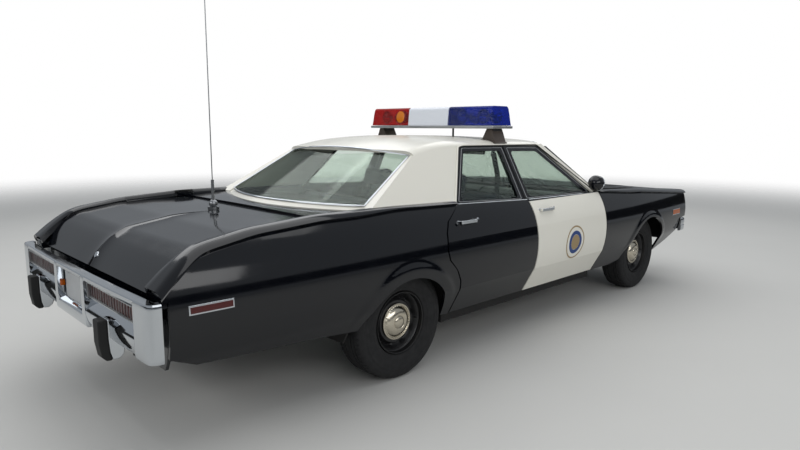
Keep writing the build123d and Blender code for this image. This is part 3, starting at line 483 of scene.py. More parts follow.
# ------------------------------------------------------------------ body panels
FRONT_X, REAR_X, WHEEL_Z, FRONT_Y, REAR_Y = 1.888, -1.211, 0.342, 0.788, 0.805
DECK_HALF, LID_HALF = 0.822, 0.812
REAR_ARCH, FRONT_ARCH = (REAR_X, 0.262, 0.368, 0.1, 7.1, 161.9), (FRONT_X, 0.315, 0.372, 0.06, -1.7, 182.3)
quarter = side_panel([(-0.863, 0.917), (-0.902, 0.854), (-0.918, 0.752), (-0.902, 0.69), (-0.834, 0.622),
                      (-0.787, 0.54), (-0.772, 0.47), (-0.77, 0.3)],
                     [(-1.846, 0.404), (-2.498, 0.44), (-2.628, 0.5), (-2.628, 0.755)],
                     -0.716, -2.655, DECK_HALF, REAR_ARCH, 0.028)
fender = side_panel([(2.78, 0.7), (2.775, 0.612), (2.625, 0.606), (2.61, 0.48), (2.467, 0.39)], [(1.048, 0.3)],
                    2.775, 1.048, 0.773, FRONT_ARCH, 0.024)


def deck_surface():
    """Deck between rear window and lid: a plane that falls to the rear, crowned 6 mm, its front edge a parabola
    along the window's foot."""
    y = np.linspace(-DECK_HALF, DECK_HALF, 61)[:, None]
    x0, rear_x = -1.606 + 0.24 * (y / DECK_HALF) ** 2, -1.714
    x = x0 + (rear_x - x0) * np.linspace(0, 1, 12)[None, :]
    z = 1.004 + (x - rear_x) * 0.034 + 0.006 * (1 - (y / DECK_HALF) ** 2)
    z = np.concatenate([z, z[:, -1:] - 0.012], axis=1)
    x = np.concatenate([x, x[:, -1:]], axis=1)
    return thick(sheet(x, y, z), 0.01)


# The fin's flat end, over the bumper
tail_z = np.linspace(0.735, 0.784, 6)
tail_cap = prism([(0.816, 0.735)] + [(float(half_width(-2.65, z)) - 0.006, z) for z in tail_z] + [(0.816, 0.784)],
                 -2.654, -2.63, 0)
mesh_piece("quarter_skins", together(both(quarter), both(tail_cap), deck_surface()), "root", BLACK,
           ["quarter_panels"], smooth=50)
mesh_piece("fender_skins", both(fender), "root", BLACK, ["front_fenders"], smooth=50)

LID_LINE = softened([(-1.722, 0.996), (-2.19, 0.974), (-2.44, 0.936), (-2.52, 0.893), (-2.572, 0.84),
                     (-2.626, 0.754)], 0.03)


def lid_surface():
    """Boot lid: the side line carried across, raised 11 mm at its edges by a cubic, with a centre ridge 9 mm high
    that falls off as an exponential, fades in behind the antenna and runs over the edge down to the lock."""
    way = np.gradient(LID_LINE, axis=0)
    way /= np.linalg.norm(way, axis=1)[:, None]
    out = np.stack([way[:, 1], -way[:, 0]], axis=1)
    y = np.concatenate([np.linspace(-LID_HALF, -0.1, 50), np.linspace(-0.09, 0.09, 41),
                        np.linspace(0.1, LID_HALF, 50)])
    along = np.linspace(0, 1, len(LID_LINE))[:, None]
    dish = 0.011 * (np.abs(y) / LID_HALF) ** 3 * smoothstep(along / 0.3)
    ridge = 0.009 * np.exp(-np.abs(y) / 0.045) * smoothstep((along - 0.12) / 0.3)
    rise = dish + ridge
    return thick(sheet(LID_LINE[:, :1] + out[:, :1] * rise, y, LID_LINE[:, 1:] + out[:, 1:] * rise), 0.02)


mesh_piece("lid_skin", lid_surface(), "boot_lid", BLACK, ["boot_lid"], smooth=50)
# Lock on the lid's rear face
lock = lathe([(0, 0), (0.006, 0), (0.007, 0.008), (0.006, 0.017), (0, 0.02)], (-2.596, 0, 0.812), (-0.85, 0, 0.52),
             32)
mesh_piece("lid_lock", lock, "boot_lid", CHROME)

# ------------------------------------------------------------------ tyres and wheels
def tyre_shape(centre, side):
    """Tyre turned from its section: tread of five ribs, raised rings on the sidewall; the outer ribs carry
    slanted cross grooves 5 mm deep, where a sine of 72 waves a turn stands above 0.55."""
    half = [(0.076, 0.191), (0.088, 0.196), (0.094, 0.206), (0.098, 0.22), (0.1, 0.222), (0.1, 0.225),
            (0.1005, 0.228), (0.103, 0.248), (0.1037, 0.262), (0.103, 0.275), (0.1037, 0.277), (0.1037, 0.282),
            (0.1025, 0.284), (0.1, 0.3), (0.1005, 0.302), (0.1, 0.305), (0.096, 0.318), (0.09, 0.329), (0.083, 0.336),
            (0.0765, 0.3385), (0.067, 0.34), (0.058, 0.3408), (0.0565, 0.3335), (0.0525, 0.3335), (0.051, 0.3412),
            (0.042, 0.3415), (0.032, 0.3417), (0.0305, 0.334), (0.0265, 0.334), (0.025, 0.3418), (0.014, 0.342)]
    mirrored = [(-a, r) for a, r in reversed(half)]
    inner = [(-0.06, 0.2), (0.06, 0.2)]

    def groove(turn, a, r):
        wave = (np.sin(turn * 72 + 22 * np.abs(a)) > 0.55) & (np.abs(a) > 0.06) & (r > 0.33)
        return a, np.where(wave, r - 0.005, r)

    profile = half + mirrored + inner
    return lathe(profile + profile[:1], centre, (0, side, 0), 288, groove)


def wheel_shape(centre, side):
    """Steel wheel: dropped rim with rolled edges and a dished disc with ten oval vent dents 12 mm deep."""
    rim = [(0.084, 0.1885), (0.0895, 0.186), (0.088, 0.182), (0.078, 0.1795), (0.06, 0.178), (0.054, 0.17),
           (0.03, 0.163), (0.02, 0.154), (0.014, 0.146), (0.018, 0.14), (0.034, 0.136), (0.044, 0.128),
           (0.046, 0.118), (0.04, 0.1), (0.04, 0.02), (0.02, 0.02), (0.02, 0.11), (0.008, 0.14), (-0.01, 0.155),
           (-0.06, 0.166), (-0.08, 0.178), (-0.0895, 0.186), (-0.084, 0.1885), (0, 0.185)]

    def vents(turn, a, r):
        dent = smoothstep((np.cos(turn * 10) - 0.35) / 0.25) * np.exp(-((r - 0.1525) / 0.007) ** 2)
        return a - 0.012 * dent * (a > 0), r

    return lathe(rim + rim[:1], centre, (0, side, 0), 120, vents)


def cap_shape(centre, side):
    """Hub cap: a rolled edge, a groove with 36 beads, a crowned dome and a small boss."""
    profile = [(0.042, 0.106), (0.05, 0.1115), (0.0555, 0.1105), (0.0575, 0.1065), (0.057, 0.1025), (0.053, 0.1),
               (0.0525, 0.097), (0.0535, 0.094), (0.056, 0.091), (0.0625, 0.085), (0.069, 0.075), (0.0735, 0.064),
               (0.0765, 0.05), (0.077, 0.042), (0.075, 0.0395), (0.075, 0.037), (0.079, 0.034), (0.082, 0.024),
               (0.0838, 0.013), (0.0845, 0)]

    def beads(turn, a, r):
        return a + 0.0012 * np.cos(turn * 36) * smoothstep((r - 0.09) / 0.003) * smoothstep((0.101 - r) / 0.003), r

    return lathe(profile + [(0.03, 0), (0.03, 0.1), (0.042, 0.106)], centre, (0, side, 0), 216, beads)


for corner, x, y in (("front_left", FRONT_X, FRONT_Y), ("front_right", FRONT_X, -FRONT_Y),
                     ("rear_left", REAR_X, REAR_Y), ("rear_right", REAR_X, -REAR_Y)):
    body, side, hub = "wheel_" + corner, math.copysign(1, y), (x, y, WHEEL_Z)
    mesh_piece("tread_" + corner, tyre_shape(hub, side), body, TYRE, ["tyre_" + corner], smooth=30)
    mesh_piece("steel_" + corner, wheel_shape(hub, side), body, WHEEL_BLACK, ["wheel_" + corner], smooth=40)
    mesh_piece("cap_" + corner, cap_shape(hub, side), body, CAP_STEEL, smooth=40)
    # Valve stem
    valve = tube([(x + 0.145, y + side * 0.05, WHEEL_Z), (x + 0.14, y + side * 0.085, WHEEL_Z)], 0.004)
    mesh_piece("valve_" + corner, valve, body, RUBBER)

# ------------------------------------------------------------------ bumpers, lamps and plates
def bar_path(half_plan, reach=0.02):
    """Whole plan of a bar from half of it, right end to left end, its corners rounded."""
    half = [np.array(p) for p in half_plan]
    right = [p * (1, -1) for p in half]
    return softened(right + half[::-1], reach, 0.012)


def bar_surface(path, sections, outward):
    """Bar whose (depth, height) section changes along y: sections are (y_low, y_high, points) for |y|, each with
    the same number of points; depth is measured in from the path against its outward side."""
    ends = sorted({abs(e) for s in sections for e in s[:2]})
    cuts = [sign * (e + d) for e in ends[1:-1] for d in (-0.002, 0.002) for sign in (-1, 1)]
    y = np.array(sorted(set(path[:, 1]) | set(cuts)))
    line = path[np.argsort(path[:, 1])]
    x = np.interp(y, line[:, 1], line[:, 0])
    way = np.gradient(np.stack([x, y], axis=1), axis=0)
    way /= np.linalg.norm(way, axis=1)[:, None]
    out = np.stack([way[:, 1], -way[:, 0]], axis=1) * outward
    rows = []
    for i, here in enumerate(np.abs(y)):
        points = next(p for lo, hi, p in sections if lo <= here <= hi + 1e-9)
        rows.append([(x[i] - out[i, 0] * d, y[i] - out[i, 1] * d, z) for d, z in points])
    return capped(grid(np.array(rows), wrap_v=True), len(rows[0]))


REAR_PLAN = [(-2.666, 0.984), (-2.699, 0.981), (-2.722, 0.962), (-2.728, 0.93), (-2.739, 0.6), (-2.7445, 0.26),
             (-2.7445, 0)]
rear_path = bar_path(REAR_PLAN, 0.012)
# Sections from the foot's inner edge up over the face and back: whole face, lamp bay and plate bay
WHOLE = [(0.05, 0.502), (0.012, 0.502), (0.004, 0.506), (0.001, 0.515), (0, 0.53), (0, 0.592), (0, 0.594), (0, 0.6),
         (0, 0.64), (0, 0.643), (0, 0.736), (0, 0.739), (0, 0.752), (0.002, 0.759), (0.008, 0.764), (0.05, 0.764)]
LAMP_BAY = [(0.05, 0.502), (0.03, 0.502), (0.02, 0.507), (0.013, 0.518), (0.006, 0.54), (0, 0.584), (0.003, 0.592),
            (0.008, 0.602), (0.038, 0.65), (0.045, 0.656), (0.045, 0.735), (0.004, 0.739), (0.001, 0.745),
            (0.002, 0.759), (0.008, 0.764), (0.05, 0.764)]
PLATE_BAY = [(0.05, 0.502), (0.012, 0.502), (0.004, 0.506), (0.001, 0.515), (0, 0.53), (0, 0.552), (0.002, 0.558),
             (0.01, 0.564), (0.036, 0.572), (0.04, 0.58), (0.04, 0.73), (0.004, 0.743), (0.001, 0.747),
             (0.002, 0.759), (0.008, 0.764), (0.05, 0.764)]
rear_bar = bar_surface(rear_path, [(0, 0.196, PLATE_BAY), (0.196, 0.245, WHOLE), (0.245, 0.835, LAMP_BAY),
                                   (0.835, 0.99, WHOLE)], -1)
mesh_piece("rear_bar", rear_bar, "root", CHROME, ["rear_bumper"], smooth=30)

# Lamp lenses: dark red, moulded in upright flutes 12 mm wide, behind 17 upright bright ribs
lens_y = np.linspace(0.255, 0.825, 229)[:, None]
lens_z = np.linspace(0.661, 0.731, 8)[None, :]
lens_x = -2.7125 - 0.0014 * np.abs(np.sin((lens_y - 0.255) * math.pi / 0.012))
mesh_piece("tail_lenses", both(thick(sheet(lens_x, lens_y, lens_z), 0.008)), "root", RED, ["tail_lamps"], smooth=60)
wires = [block((-2.7195, 0.252, z), (-2.7165, 0.828, z + 0.0015)) for z in (0.6615, 0.731)]
wires += [block((-2.7195, y, 0.66), (-2.7145, y + 0.0028, 0.732)) for y in np.linspace(0.274, 0.803, 17)]
mesh_piece("lamp_wires", both(together(*wires)), "root", SATIN, smooth=30)
frame_bits = [block((-2.722, 0.25, 0.654), (-2.716, 0.83, 0.66)),
              block((-2.734, 0.25, 0.733), (-2.716, 0.83, 0.737)),
              block((-2.73, 0.247, 0.656), (-2.716, 0.2515, 0.736)),
              block((-2.73, 0.8285, 0.656), (-2.716, 0.833, 0.736))]
mesh_piece("lamp_frames", both(together(*frame_bits)), "root", SATIN, bevel=0.001)

# Bare plate on its two screws, and beside it a small amber block that is no lamp: a painted glint, standing for a
# yellow reflection on the bay's chrome wall
plate = prism([(-0.155, 0.578), (0.155, 0.578), (0.155, 0.728), (-0.155, 0.728)], -2.7125, -2.7095, 0)
mesh_piece("bare_plate", plate, "root", PLATE, bevel=0.0012)
screws = [lathe([(0, 0), (0, 0.006), (0.002, 0.0055), (0.003, 0)], (-2.7125, y, 0.715), (-1, 0, 0), 16)
          for y in (-0.0889, 0.0889)]
mesh_piece("plate_screws", together(*screws), "root", SATIN)
plate_glint = prism([(-2.733, 0.632), (-2.709, 0.632), (-2.709, 0.664), (-2.733, 0.664)], 0.182, 0.194, 1)
mesh_piece("plate_glint", plate_glint, "root", AMBER, bevel=0.004)

# Guards: chrome stems that sweep back under the bar, faced with black rubber
for side, name in ((1, "left"), (-1, "right")):
    y = side * 0.56
    face = prism([(-2.799, 0.628), (-2.799, 0.52), (-2.788, 0.455), (-2.768, 0.434), (-2.742, 0.434), (-2.752, 0.47),
                  (-2.757, 0.53), (-2.757, 0.628)], y - 0.0355, y + 0.0355, 1)
    mesh_piece("guard_rubber_" + name, face, "root", RUBBER, ["bumper_rubbers"] if side > 0 else (), bevel=0.007)
    stem = prism([(-2.757, 0.627), (-2.757, 0.53), (-2.752, 0.47), (-2.742, 0.434), (-2.715, 0.433), (-2.692, 0.45),
                  (-2.686, 0.472), (-2.686, 0.503), (-2.7, 0.51), (-2.706, 0.6), (-2.716, 0.622), (-2.74, 0.628)],
                 y - 0.0335, y + 0.0335, 1)
    mesh_piece("guard_stem_" + name, stem, "root", CHROME, bevel=0.006)

# Front bar: a rounded face with a shallow level groove
FRONT_PLAN = [(2.64, 0.974), (2.735, 0.969), (2.765, 0.955), (2.778, 0.93), (2.79, 0.7), (2.7995, 0.13), (2.7995, 0)]
FRONT_FACE = [(0.03, 0.472), (0.012, 0.472), (0.004, 0.476), (0.001, 0.484), (0, 0.5), (0, 0.524), (0.003, 0.529),
              (0.003, 0.541), (0, 0.546), (0, 0.575), (0.002, 0.588), (0.008, 0.597), (0.014, 0.599), (0.03, 0.599)]
front_bar = bar_surface(bar_path(FRONT_PLAN, 0.012), [(0, 0.99, FRONT_FACE)], 1)
mesh_piece("front_bar", front_bar, "root", CHROME, ["front_bumper"], smooth=30)


def marker(span, edge, out):
    """Slab that follows the body side within span (x, x, z, z), inset by edge and standing out by so much."""
    x = np.linspace(span[0] + edge, span[1] - edge, 25)[:, None]
    z = np.linspace(span[2] + edge, span[3] - edge, 7)[None, :]
    return both(thick(sheet(x, half_width(x, z) + out, z), out + 0.004))


# Side markers: red behind, amber ahead, in chrome bezels
for name, span, finish, node in (("rear", (-2.546, -2.336, 0.686, 0.729), RED, ["side_markers"]),
                                 ("front", (2.41, 2.6, 0.651, 0.71), AMBER, ())):
    mesh_piece("marker_bezel_" + name, marker(span, 0, 0.0045), "root", CHROME, node, bevel=0.0015)
    mesh_piece("marker_lens_" + name, marker(span, 0.007, 0.0075), "root", finish, bevel=0.002)

# ------------------------------------------------------------------ nose
# Headlamps: a crowned glass and a bowl in a stepped chrome bezel
LAMP_Z, AHEAD = 0.69, (1, 0, 0)
BEZEL = [(0, 0.089), (0.013, 0.089), (0.016, 0.085), (0.014, 0.079), (0.008, 0.074), (0, 0.072), (0, 0.089)]
BOWL = [(0.002, 0.071), (-0.006, 0.06), (-0.008, 0), (-0.012, 0), (-0.01, 0.064), (0, 0.0725)]
PANE = [(0.004, 0), (0.0035, 0.04), (0.001, 0.07), (-0.003, 0.0715), (-0.002, 0.04), (0.0005, 0)]
for tag, y, node in (("inner", 0.655, ["headlamps"]), ("outer", 0.815, ())):
    mesh_piece("lamp_bezel_" + tag, both(lathe(BEZEL, (2.74, y, LAMP_Z), AHEAD, 72)), "root", CHROME, node)
    mesh_piece("lamp_bowl_" + tag, both(lathe(BOWL, (2.7455, y, LAMP_Z), AHEAD, 48)), "root", CHROME)
    mesh_piece("lamp_pane_" + tag, both(lathe(PANE, (2.7495, y, LAMP_Z), AHEAD, 48)), "root", LENS)

# Grille surround
around = softened([(-0.565, 0.572), (-0.565, 0.785), (0.565, 0.785), (0.565, 0.572), (-0.565, 0.572),
                   (-0.56, 0.572)], 0.006, 0.01)
mesh_piece("grille_surround", tube([(2.752, y, z) for y, z in around], 0.006, up=AHEAD, n=8), "root", CHROME)


def bonnet_surface():
    """Bonnet: its side line carried across, with a centre raised 1.9 mm that ends by an S curve between 0.30 and
    0.36 m from the middle, and a rolled front edge."""
    line = softened([(1.29, 0.976), (2.7, 0.88), (2.763, 0.866)], 0.05)
    y = np.linspace(-0.765, 0.765, 121)
    rise = 0.0019 * (1 - smoothstep((np.abs(y) - 0.3) / 0.06))
    return thick(sheet(line[:, :1], y, line[:, 1:] + rise), 0.018)


mesh_piece("bonnet_skin", bonnet_surface(), "bonnet", BLACK, ["bonnet"], smooth=50)

# ------------------------------------------------------------------ roof, sails and glass trims
GLASS_LEAN, ROOF_TOP = 0.573, 1.43


def glass_y(z):
    """Half width of the leaning plane that the side windows and sails lie in."""
    return 0.866 - GLASS_LEAN * (z - 0.985)


def crown_z(y):
    """Height of the roof across its highest section."""
    return ROOF_TOP - y ** 2 / 12


def roof_drop(x):
    """Fall of the roof from its peak: an arc of 25 m radius ahead, 1.8 m behind."""
    return np.where(x > -0.45, (x + 0.45) ** 2 / 50, 1.8 - np.sqrt(np.maximum(3.24 - (x + 0.45) ** 2, 1)))


def roof_surface():
    """Roof: crown z = 1.430 - y squared / 12 out to y = 0.555, met by the leaning side plane at z = 1.364 through
    a parabola; the whole section sinks by roof_drop, and both ends are bowed in plan."""
    t = np.linspace(0, 1, 12)
    crown_y, eaves_z, corner = 0.555, 1.364, (0.6315, 1.3967)
    flat_y = np.linspace(crown_y, 0, 20)[1:]
    y0 = np.concatenate([parabola(glass_y(eaves_z), corner[0], crown_y, t), flat_y])
    z0 = np.concatenate([parabola(eaves_z, corner[1], crown_z(crown_y), t), crown_z(flat_y)])
    y0, z0 = np.concatenate([y0, -y0[-2::-1]]), np.concatenate([z0, z0[-2::-1]])
    ahead = np.interp(np.abs(y0), [0, 0.36, 0.64, 0.7], [0.668, 0.64, 0.545, 0.5])
    behind = np.interp(np.abs(y0), [0, 0.36, 0.64, 0.7], [-0.99, -0.965, -0.9, -0.88])
    x = ahead + (behind - ahead) * np.linspace(0, 1, 111)[:, None]
    drop = roof_drop(x)
    y = y0 + np.sign(y0) * GLASS_LEAN * drop * smoothstep((np.abs(y0) - 0.3) / 0.3)
    return thick(sheet(x, y, z0 - drop), 0.02)


SAIL_FRONT = [(-0.452, 1.366), (-0.56, 1.21), (-0.697, 1.0075)]
sail_outline = SAIL_FRONT + [(-1.259, 1.0195), (-1.421, 1.0195), (-1.36, 1.052), (-0.92, 1.307)]
sail_outline += [(x, 1.366 - float(roof_drop(x))) for x in np.linspace(-0.88, -0.48, 20)]
flat, faces = patch(sail_outline, 0.014)
# The sail's foot flares out onto the shoulder: 12 mm, dying away upwards as an exponential
flared = glass_y(flat[:, 1]) + 0.0122 * np.exp(-np.maximum(flat[:, 1] - shoulder_z(flat[:, 0]), 0) / 0.014)
sail_skin = thick((np.stack([flat[:, 0], flared, flat[:, 1]], axis=1), faces), 0.03)
# Its return in to the rear glass, ruled between the pillar's rear edge and the glass's side edge
edge = resampled([(-0.885, 1.318), (-0.92, 1.307), (-1.36, 1.052), (-1.421, 1.0195)], 0.02)
s = np.linspace(0, 1, len(edge))[:, None]
glass_edge = np.concatenate([-0.893 - 0.479 * s - 0.03 * s ** 8, 0.648 + 0.106 * s,
                             1.318 - 0.282 * s - 0.02 * s ** 8], axis=1)
sail_edge = np.stack([edge[:, 0], glass_y(edge[:, 1]), edge[:, 1]], axis=1)
k = np.linspace(0, 1, 6)[None, :, None]
sail_return = thick(grid(sail_edge[:, None] * (1 - k) + glass_edge[:, None] * k), 0.012)
# White band under the rear glass, its foot and head parabolas in plan
side_t = np.linspace(-1, 1, 61)[:, None]
rise_t = np.linspace(0, 1, 5)[None, :]
band_x = -1.607 + 0.236 * side_t ** 2 + 0.043 * rise_t
band_z = 1.005 + 0.008 * side_t ** 2 + (0.031 - 0.008 * side_t ** 2) * rise_t
band = thick(sheet(band_x, 0.805 * side_t, band_z), 0.012)
mesh_piece("roof_skin", together(roof_surface(), both(sail_skin), both(sail_return), band), "root", WHITE,
           ["roof_panel"], smooth=50)

# Bright frames of both fixed screens, loops on their outer edges
LOOP_T = np.linspace(-1, 1, 41)


def screen_loop(low, high, out):
    """Loop round a bent pane: parabolas along foot and head, given (corner x, middle x, y, corner z, middle z)."""
    rows = []
    for (cx, mx, y, cz, mz), t in ((low, LOOP_T), (high, LOOP_T[::-1])):
        rows.append(np.stack([mx + (cx - mx) * t ** 2, y * t, mz + (cz - mz) * t ** 2], axis=1))
    side = np.linspace(0, 1, 12)[1:-1, None]
    left = rows[0][-1] + (rows[1][0] - rows[0][-1]) * side
    back = rows[1][-1] + (rows[0][0] - rows[1][-1]) * side
    return np.concatenate([rows[0], left, rows[1], back]) + np.array(out)


REAR_LOW, REAR_HIGH = (-1.368, -1.563, 0.746, 1.036, 1.036), (-0.9, -0.982, 0.64, 1.31, 1.352)
FRONT_LOW, FRONT_HIGH = (1.028, 1.218, 0.834, 0.974, 0.974), (0.53, 0.652, 0.602, 1.378, 1.381)
for name, low, high, out, up in (("rear_glass_trim", REAR_LOW, REAR_HIGH, (-0.002, 0, 0.004), (-0.5, 0, 0.87)),
                                 ("windscreen_trim", FRONT_LOW, FRONT_HIGH, (0.003, 0, 0.003), (0.55, 0, 0.83))):
    mesh_piece(name, tube(screen_loop(low, high, out), 0.008, 0.004, up, closed=True), "root", CHROME, smooth=60)


def on_side(points, out):
    """Path of (x, z) points on the side windows' plane, standing out by so much."""
    return np.array([(x, glass_y(z) + out, z) for x, z in points])


# Drip rails over a rubber gutter, and covers of the front pillars
LEAN = (0, 0.5, 0.87)
rail_line = softened([(1.035, 0.985), (0.49, 1.366), (0.3, 1.3675), (-0.4, 1.3705), (-0.452, 1.362), (-0.56, 1.205),
                      (-0.694, 1.012)], 0.02, 0.008)
mesh_piece("drip_rail", both(tube(on_side(rail_line, 0.005), 0.0065, 0.004, LEAN)), "root", WHITE, smooth=60)
flat, faces = patch([(0.5, 1.359), (0.56, 1.368), (1.062, 0.985), (1.03, 0.975), (0.998, 0.973)], 0.03)
mesh_piece("pillar_covers", both(thick((on_side(flat, 0.002), faces), 0.02)), "root", WHITE, bevel=0.004)
gutter = tube(on_side(rail_line - (0, 0.009), 0.003), 0.004, 0.005, LEAN)
mesh_piece("drip_gutter", both(gutter), "root", RUBBER, smooth=60)

# On each door a black window frame (corners, widths of its four sides), a belt moulding and a handle (x, x)
DOORS = {"front": ([(0.084, 0.99), (0.925, 0.98), (0.47, 1.332), (0.092, 1.34)], (0.004, 0.03, 0.02, 0.03),
                   (0.06, 0.985), (0.118, 0.292)),
         "rear": ([(-0.65, 1.018), (0.012, 0.99), (0.026, 1.342), (-0.415, 1.346)], (0.005, 0.03, 0.018, 0.014),
                  (-0.69, 0.04), (-0.777, -0.603))}
SIDES = (("left", lambda shape: shape), ("right", flipped))
BEAD_OUT, HANDLE_Y, HANDLE_Z = -0.003, 0.948, 0.905


def inset(corners, widths):
    """Corners of an outline whose sides are each moved in by their own width."""
    start = np.array(corners, dtype=float)
    way = np.roll(start, -1, axis=0) - start
    way /= np.linalg.norm(way, axis=1)[:, None]
    inward = np.stack([-way[:, 1], way[:, 0]], axis=1)
    level = (inward * start).sum(axis=1) + np.array(widths)
    return [np.linalg.solve([inward[i - 1], inward[i]], [level[i - 1], level[i]]) for i in range(len(start))]


def rounded(corners, reach):
    """Closed path with each corner cut by a parabola that starts so far before it."""
    corners = np.array(corners, dtype=float)
    rows, t, run = [], np.linspace(0, 1, 9)[:, None], np.linspace(0, 1, 16)[1:-1, None]
    for before, here, after in zip(np.roll(corners, 1, axis=0), corners, np.roll(corners, -1, axis=0)):
        way = (after - here) / np.linalg.norm(after - here)
        first = here + (before - here) / np.linalg.norm(before - here) * reach
        rows += [parabola(first, here, here + way * reach, t),
                 here + way * reach + (after - here - 2 * way * reach) * run]
    return np.concatenate(rows)


for name, (outline, widths, belt, _) in DOORS.items():
    edge, inner = rounded(outline, 0.012), rounded(inset(outline, widths), 0.03)
    rim = rounded(inset(outline, (BEAD_OUT,) * 4), 0.012)
    frame_face = thick(grid(np.stack([on_side(inner, 0.0012), on_side(edge, 0.0012)]), wrap_v=True), 0.003)
    bead = tube(on_side(rim, 0.001), 0.0018, 0.002, LEAN, n=8, closed=True)
    xs = np.linspace(*belt, 40)
    zs = shoulder_z(xs) + 0.001
    moulding = tube(np.stack([xs, half_width(xs, zs) - 0.004, zs], axis=1), 0.006, 0.0035)
    for side, turn in SIDES:
        body = f"door_{name}_{side}"
        mesh_piece(f"window_frame_{name}_{side}", turn(frame_face), body, BLACK, smooth=60)
        mesh_piece(f"window_bead_{name}_{side}", turn(bead), body, SATIN, smooth=60)
        mesh_piece(f"belt_{name}_{side}", turn(moulding), body, CHROME, smooth=60)

# Handles: a bar grip on two feet, with the lock's button ahead of it
for name, (_, _, _, (x0, x1)) in DOORS.items():
    y = HANDLE_Y
    outer = [(x0 - 0.002, y - 0.02), (x0 + 0.004, y + 0.018), (x0 + 0.016, y + 0.03), (x1 - 0.016, y + 0.03),
             (x1 - 0.004, y + 0.018), (x1 + 0.002, y - 0.02)]
    inner = [(x1 - 0.026, y - 0.02), (x1 - 0.029, y + 0.011), (x0 + 0.029, y + 0.011), (x0 + 0.026, y - 0.02)]
    grip = prism(outer + inner, HANDLE_Z - 0.0105, HANDLE_Z + 0.0105, 2)
    button = lathe([(-0.02, 0.011), (0.006, 0.011), (0.008, 0.0095), (0.0085, 0)], (x1 + 0.03, y - 0.01, HANDLE_Z),
                   (0, 1, 0.25), 24)
    for side, turn in SIDES:
        mesh_piece(f"handle_{name}_{side}", turn(grip), f"door_{name}_{side}", CHROME, bevel=0.003)
        mesh_piece(f"lock_{name}_{side}", turn(button), f"door_{name}_{side}", CHROME)


def glass_foot_x(y):
    """The windscreen's foot in plan, a parabola."""
    return 1.225 - 0.19 * (y / 0.83) ** 2


# Wipers, parked at the foot of the windscreen
for name, y in (("left", 0.42), ("right", -0.22)):
    pivot = (glass_foot_x(y), y, 0.972)
    tip_y = y - 0.46
    tip = (glass_foot_x(tip_y) - 0.035, tip_y, 1.004)
    arm = tube([pivot, (pivot[0] - 0.005, y - 0.03, 0.987), tip], 0.005, 0.003, n=8)
    blade = tube([(tip[0] + 0.004, tip_y - 0.17, 0.999), (tip[0] + 0.012, tip_y, 0.997),
                  (tip[0] + 0.006, tip_y + 0.18, 0.993)], 0.004, 0.006, n=8)
    hub = lathe([(-0.015, 0.014), (0.008, 0.014), (0.014, 0.01), (0.016, 0)], pivot, (0.3, 0, 1), 24)
    mesh_piece("wiper_" + name, together(arm, blade, hub), "root", PLASTIC)

# Bare roundel on each front door: flat rings where the photographed car carries its badge
ROUNDEL_X, ROUNDEL_Z = 0.56, 0.62
for tag, r0, r1, finish in (("rim", 0.118, 0.13, TAN), ("ring", 0.06, 0.09, NAVY), ("middle", 0, 0.058, TAN)):
    turn_t = np.linspace(0, 2 * math.pi, 73)[:-1, None]
    reach = np.array((r0, (r0 + r1) / 2, r1))[None, :]
    xs, zs = ROUNDEL_X + reach * np.cos(turn_t), ROUNDEL_Z + reach * np.sin(turn_t)
    disc = thick(sheet(xs, half_width(xs, zs) + 0.0006, zs, wrap_u=True), 0.002)
    for side, turn in SIDES:
        mesh_piece(f"roundel_{tag}_{side}", turn(disc), "door_front_" + side, finish)

# ------------------------------------------------------------------ light bar and spotlights
BAR_AT, TRAY_LOW, TRAY_TOP, DOME_TOP = 0.04, 1.4825, 1.504, 1.648
BAR_END, DOME_END, SPEAKER_END, DOME_INNER = 0.664, 0.656, 0.215, 0.222


def dome_shape(y0, y1, lean0, lean1, flute=0.0016, pitch=0.014, steps=260):
    """Lamp cover: a flat-topped section with rounded shoulders carried across from y0 to y1; its faces are fluted
    upright by a row of half sines, flute deep and pitch wide, and each end leans in by its lean."""
    side = softened([(-0.109, TRAY_TOP + 0.001), (-0.095, DOME_TOP - 0.0015), (0.095, DOME_TOP - 0.0015),
                     (0.109, TRAY_TOP + 0.001)], 0.022, 0.008)
    y = np.linspace(0, 1, steps + 1)[:, None]
    high = (side[:, 1] - TRAY_TOP) / (DOME_TOP - TRAY_TOP)
    low_y, high_y = y0 + (y1 - y0) * y, y0 + lean0 + (y1 - lean1 - y0 - lean0) * y
    across = low_y + (high_y - low_y) * high
    face = smoothstep((np.abs(side[:, 0]) - 0.085) / 0.01)
    wave = flute * np.abs(np.sin(math.pi * across / pitch)) * face
    x = BAR_AT + side[:, 0] - np.sign(side[:, 0]) * wave
    return capped(sheet(x, across, side[:, 1]), len(side))


for name, shape, finish, node in (
        ("dome_red_skin", dome_shape(DOME_INNER, DOME_END, 0, 0.02), DOME_RED, "dome_red"),
        ("dome_blue_skin", dome_shape(-DOME_END, -DOME_INNER, 0.02, 0), BLUE, "dome_blue"),
        ("speaker_skin", dome_shape(-SPEAKER_END, SPEAKER_END, 0, 0, 0, 1, 60), SILVER, "speaker_housing")):
    mesh_piece(name, shape, "root", finish, [node], bevel=0.003)
tray = prism([(BAR_AT - 0.12, TRAY_LOW), (BAR_AT - 0.12, TRAY_TOP - 0.0005), (BAR_AT + 0.12, TRAY_TOP - 0.0005),
              (BAR_AT + 0.12, TRAY_LOW)], -BAR_END, BAR_END, 1)
mesh_piece("tray_skin", tray, "root", SATIN, ["lightbar_tray"], bevel=0.005)

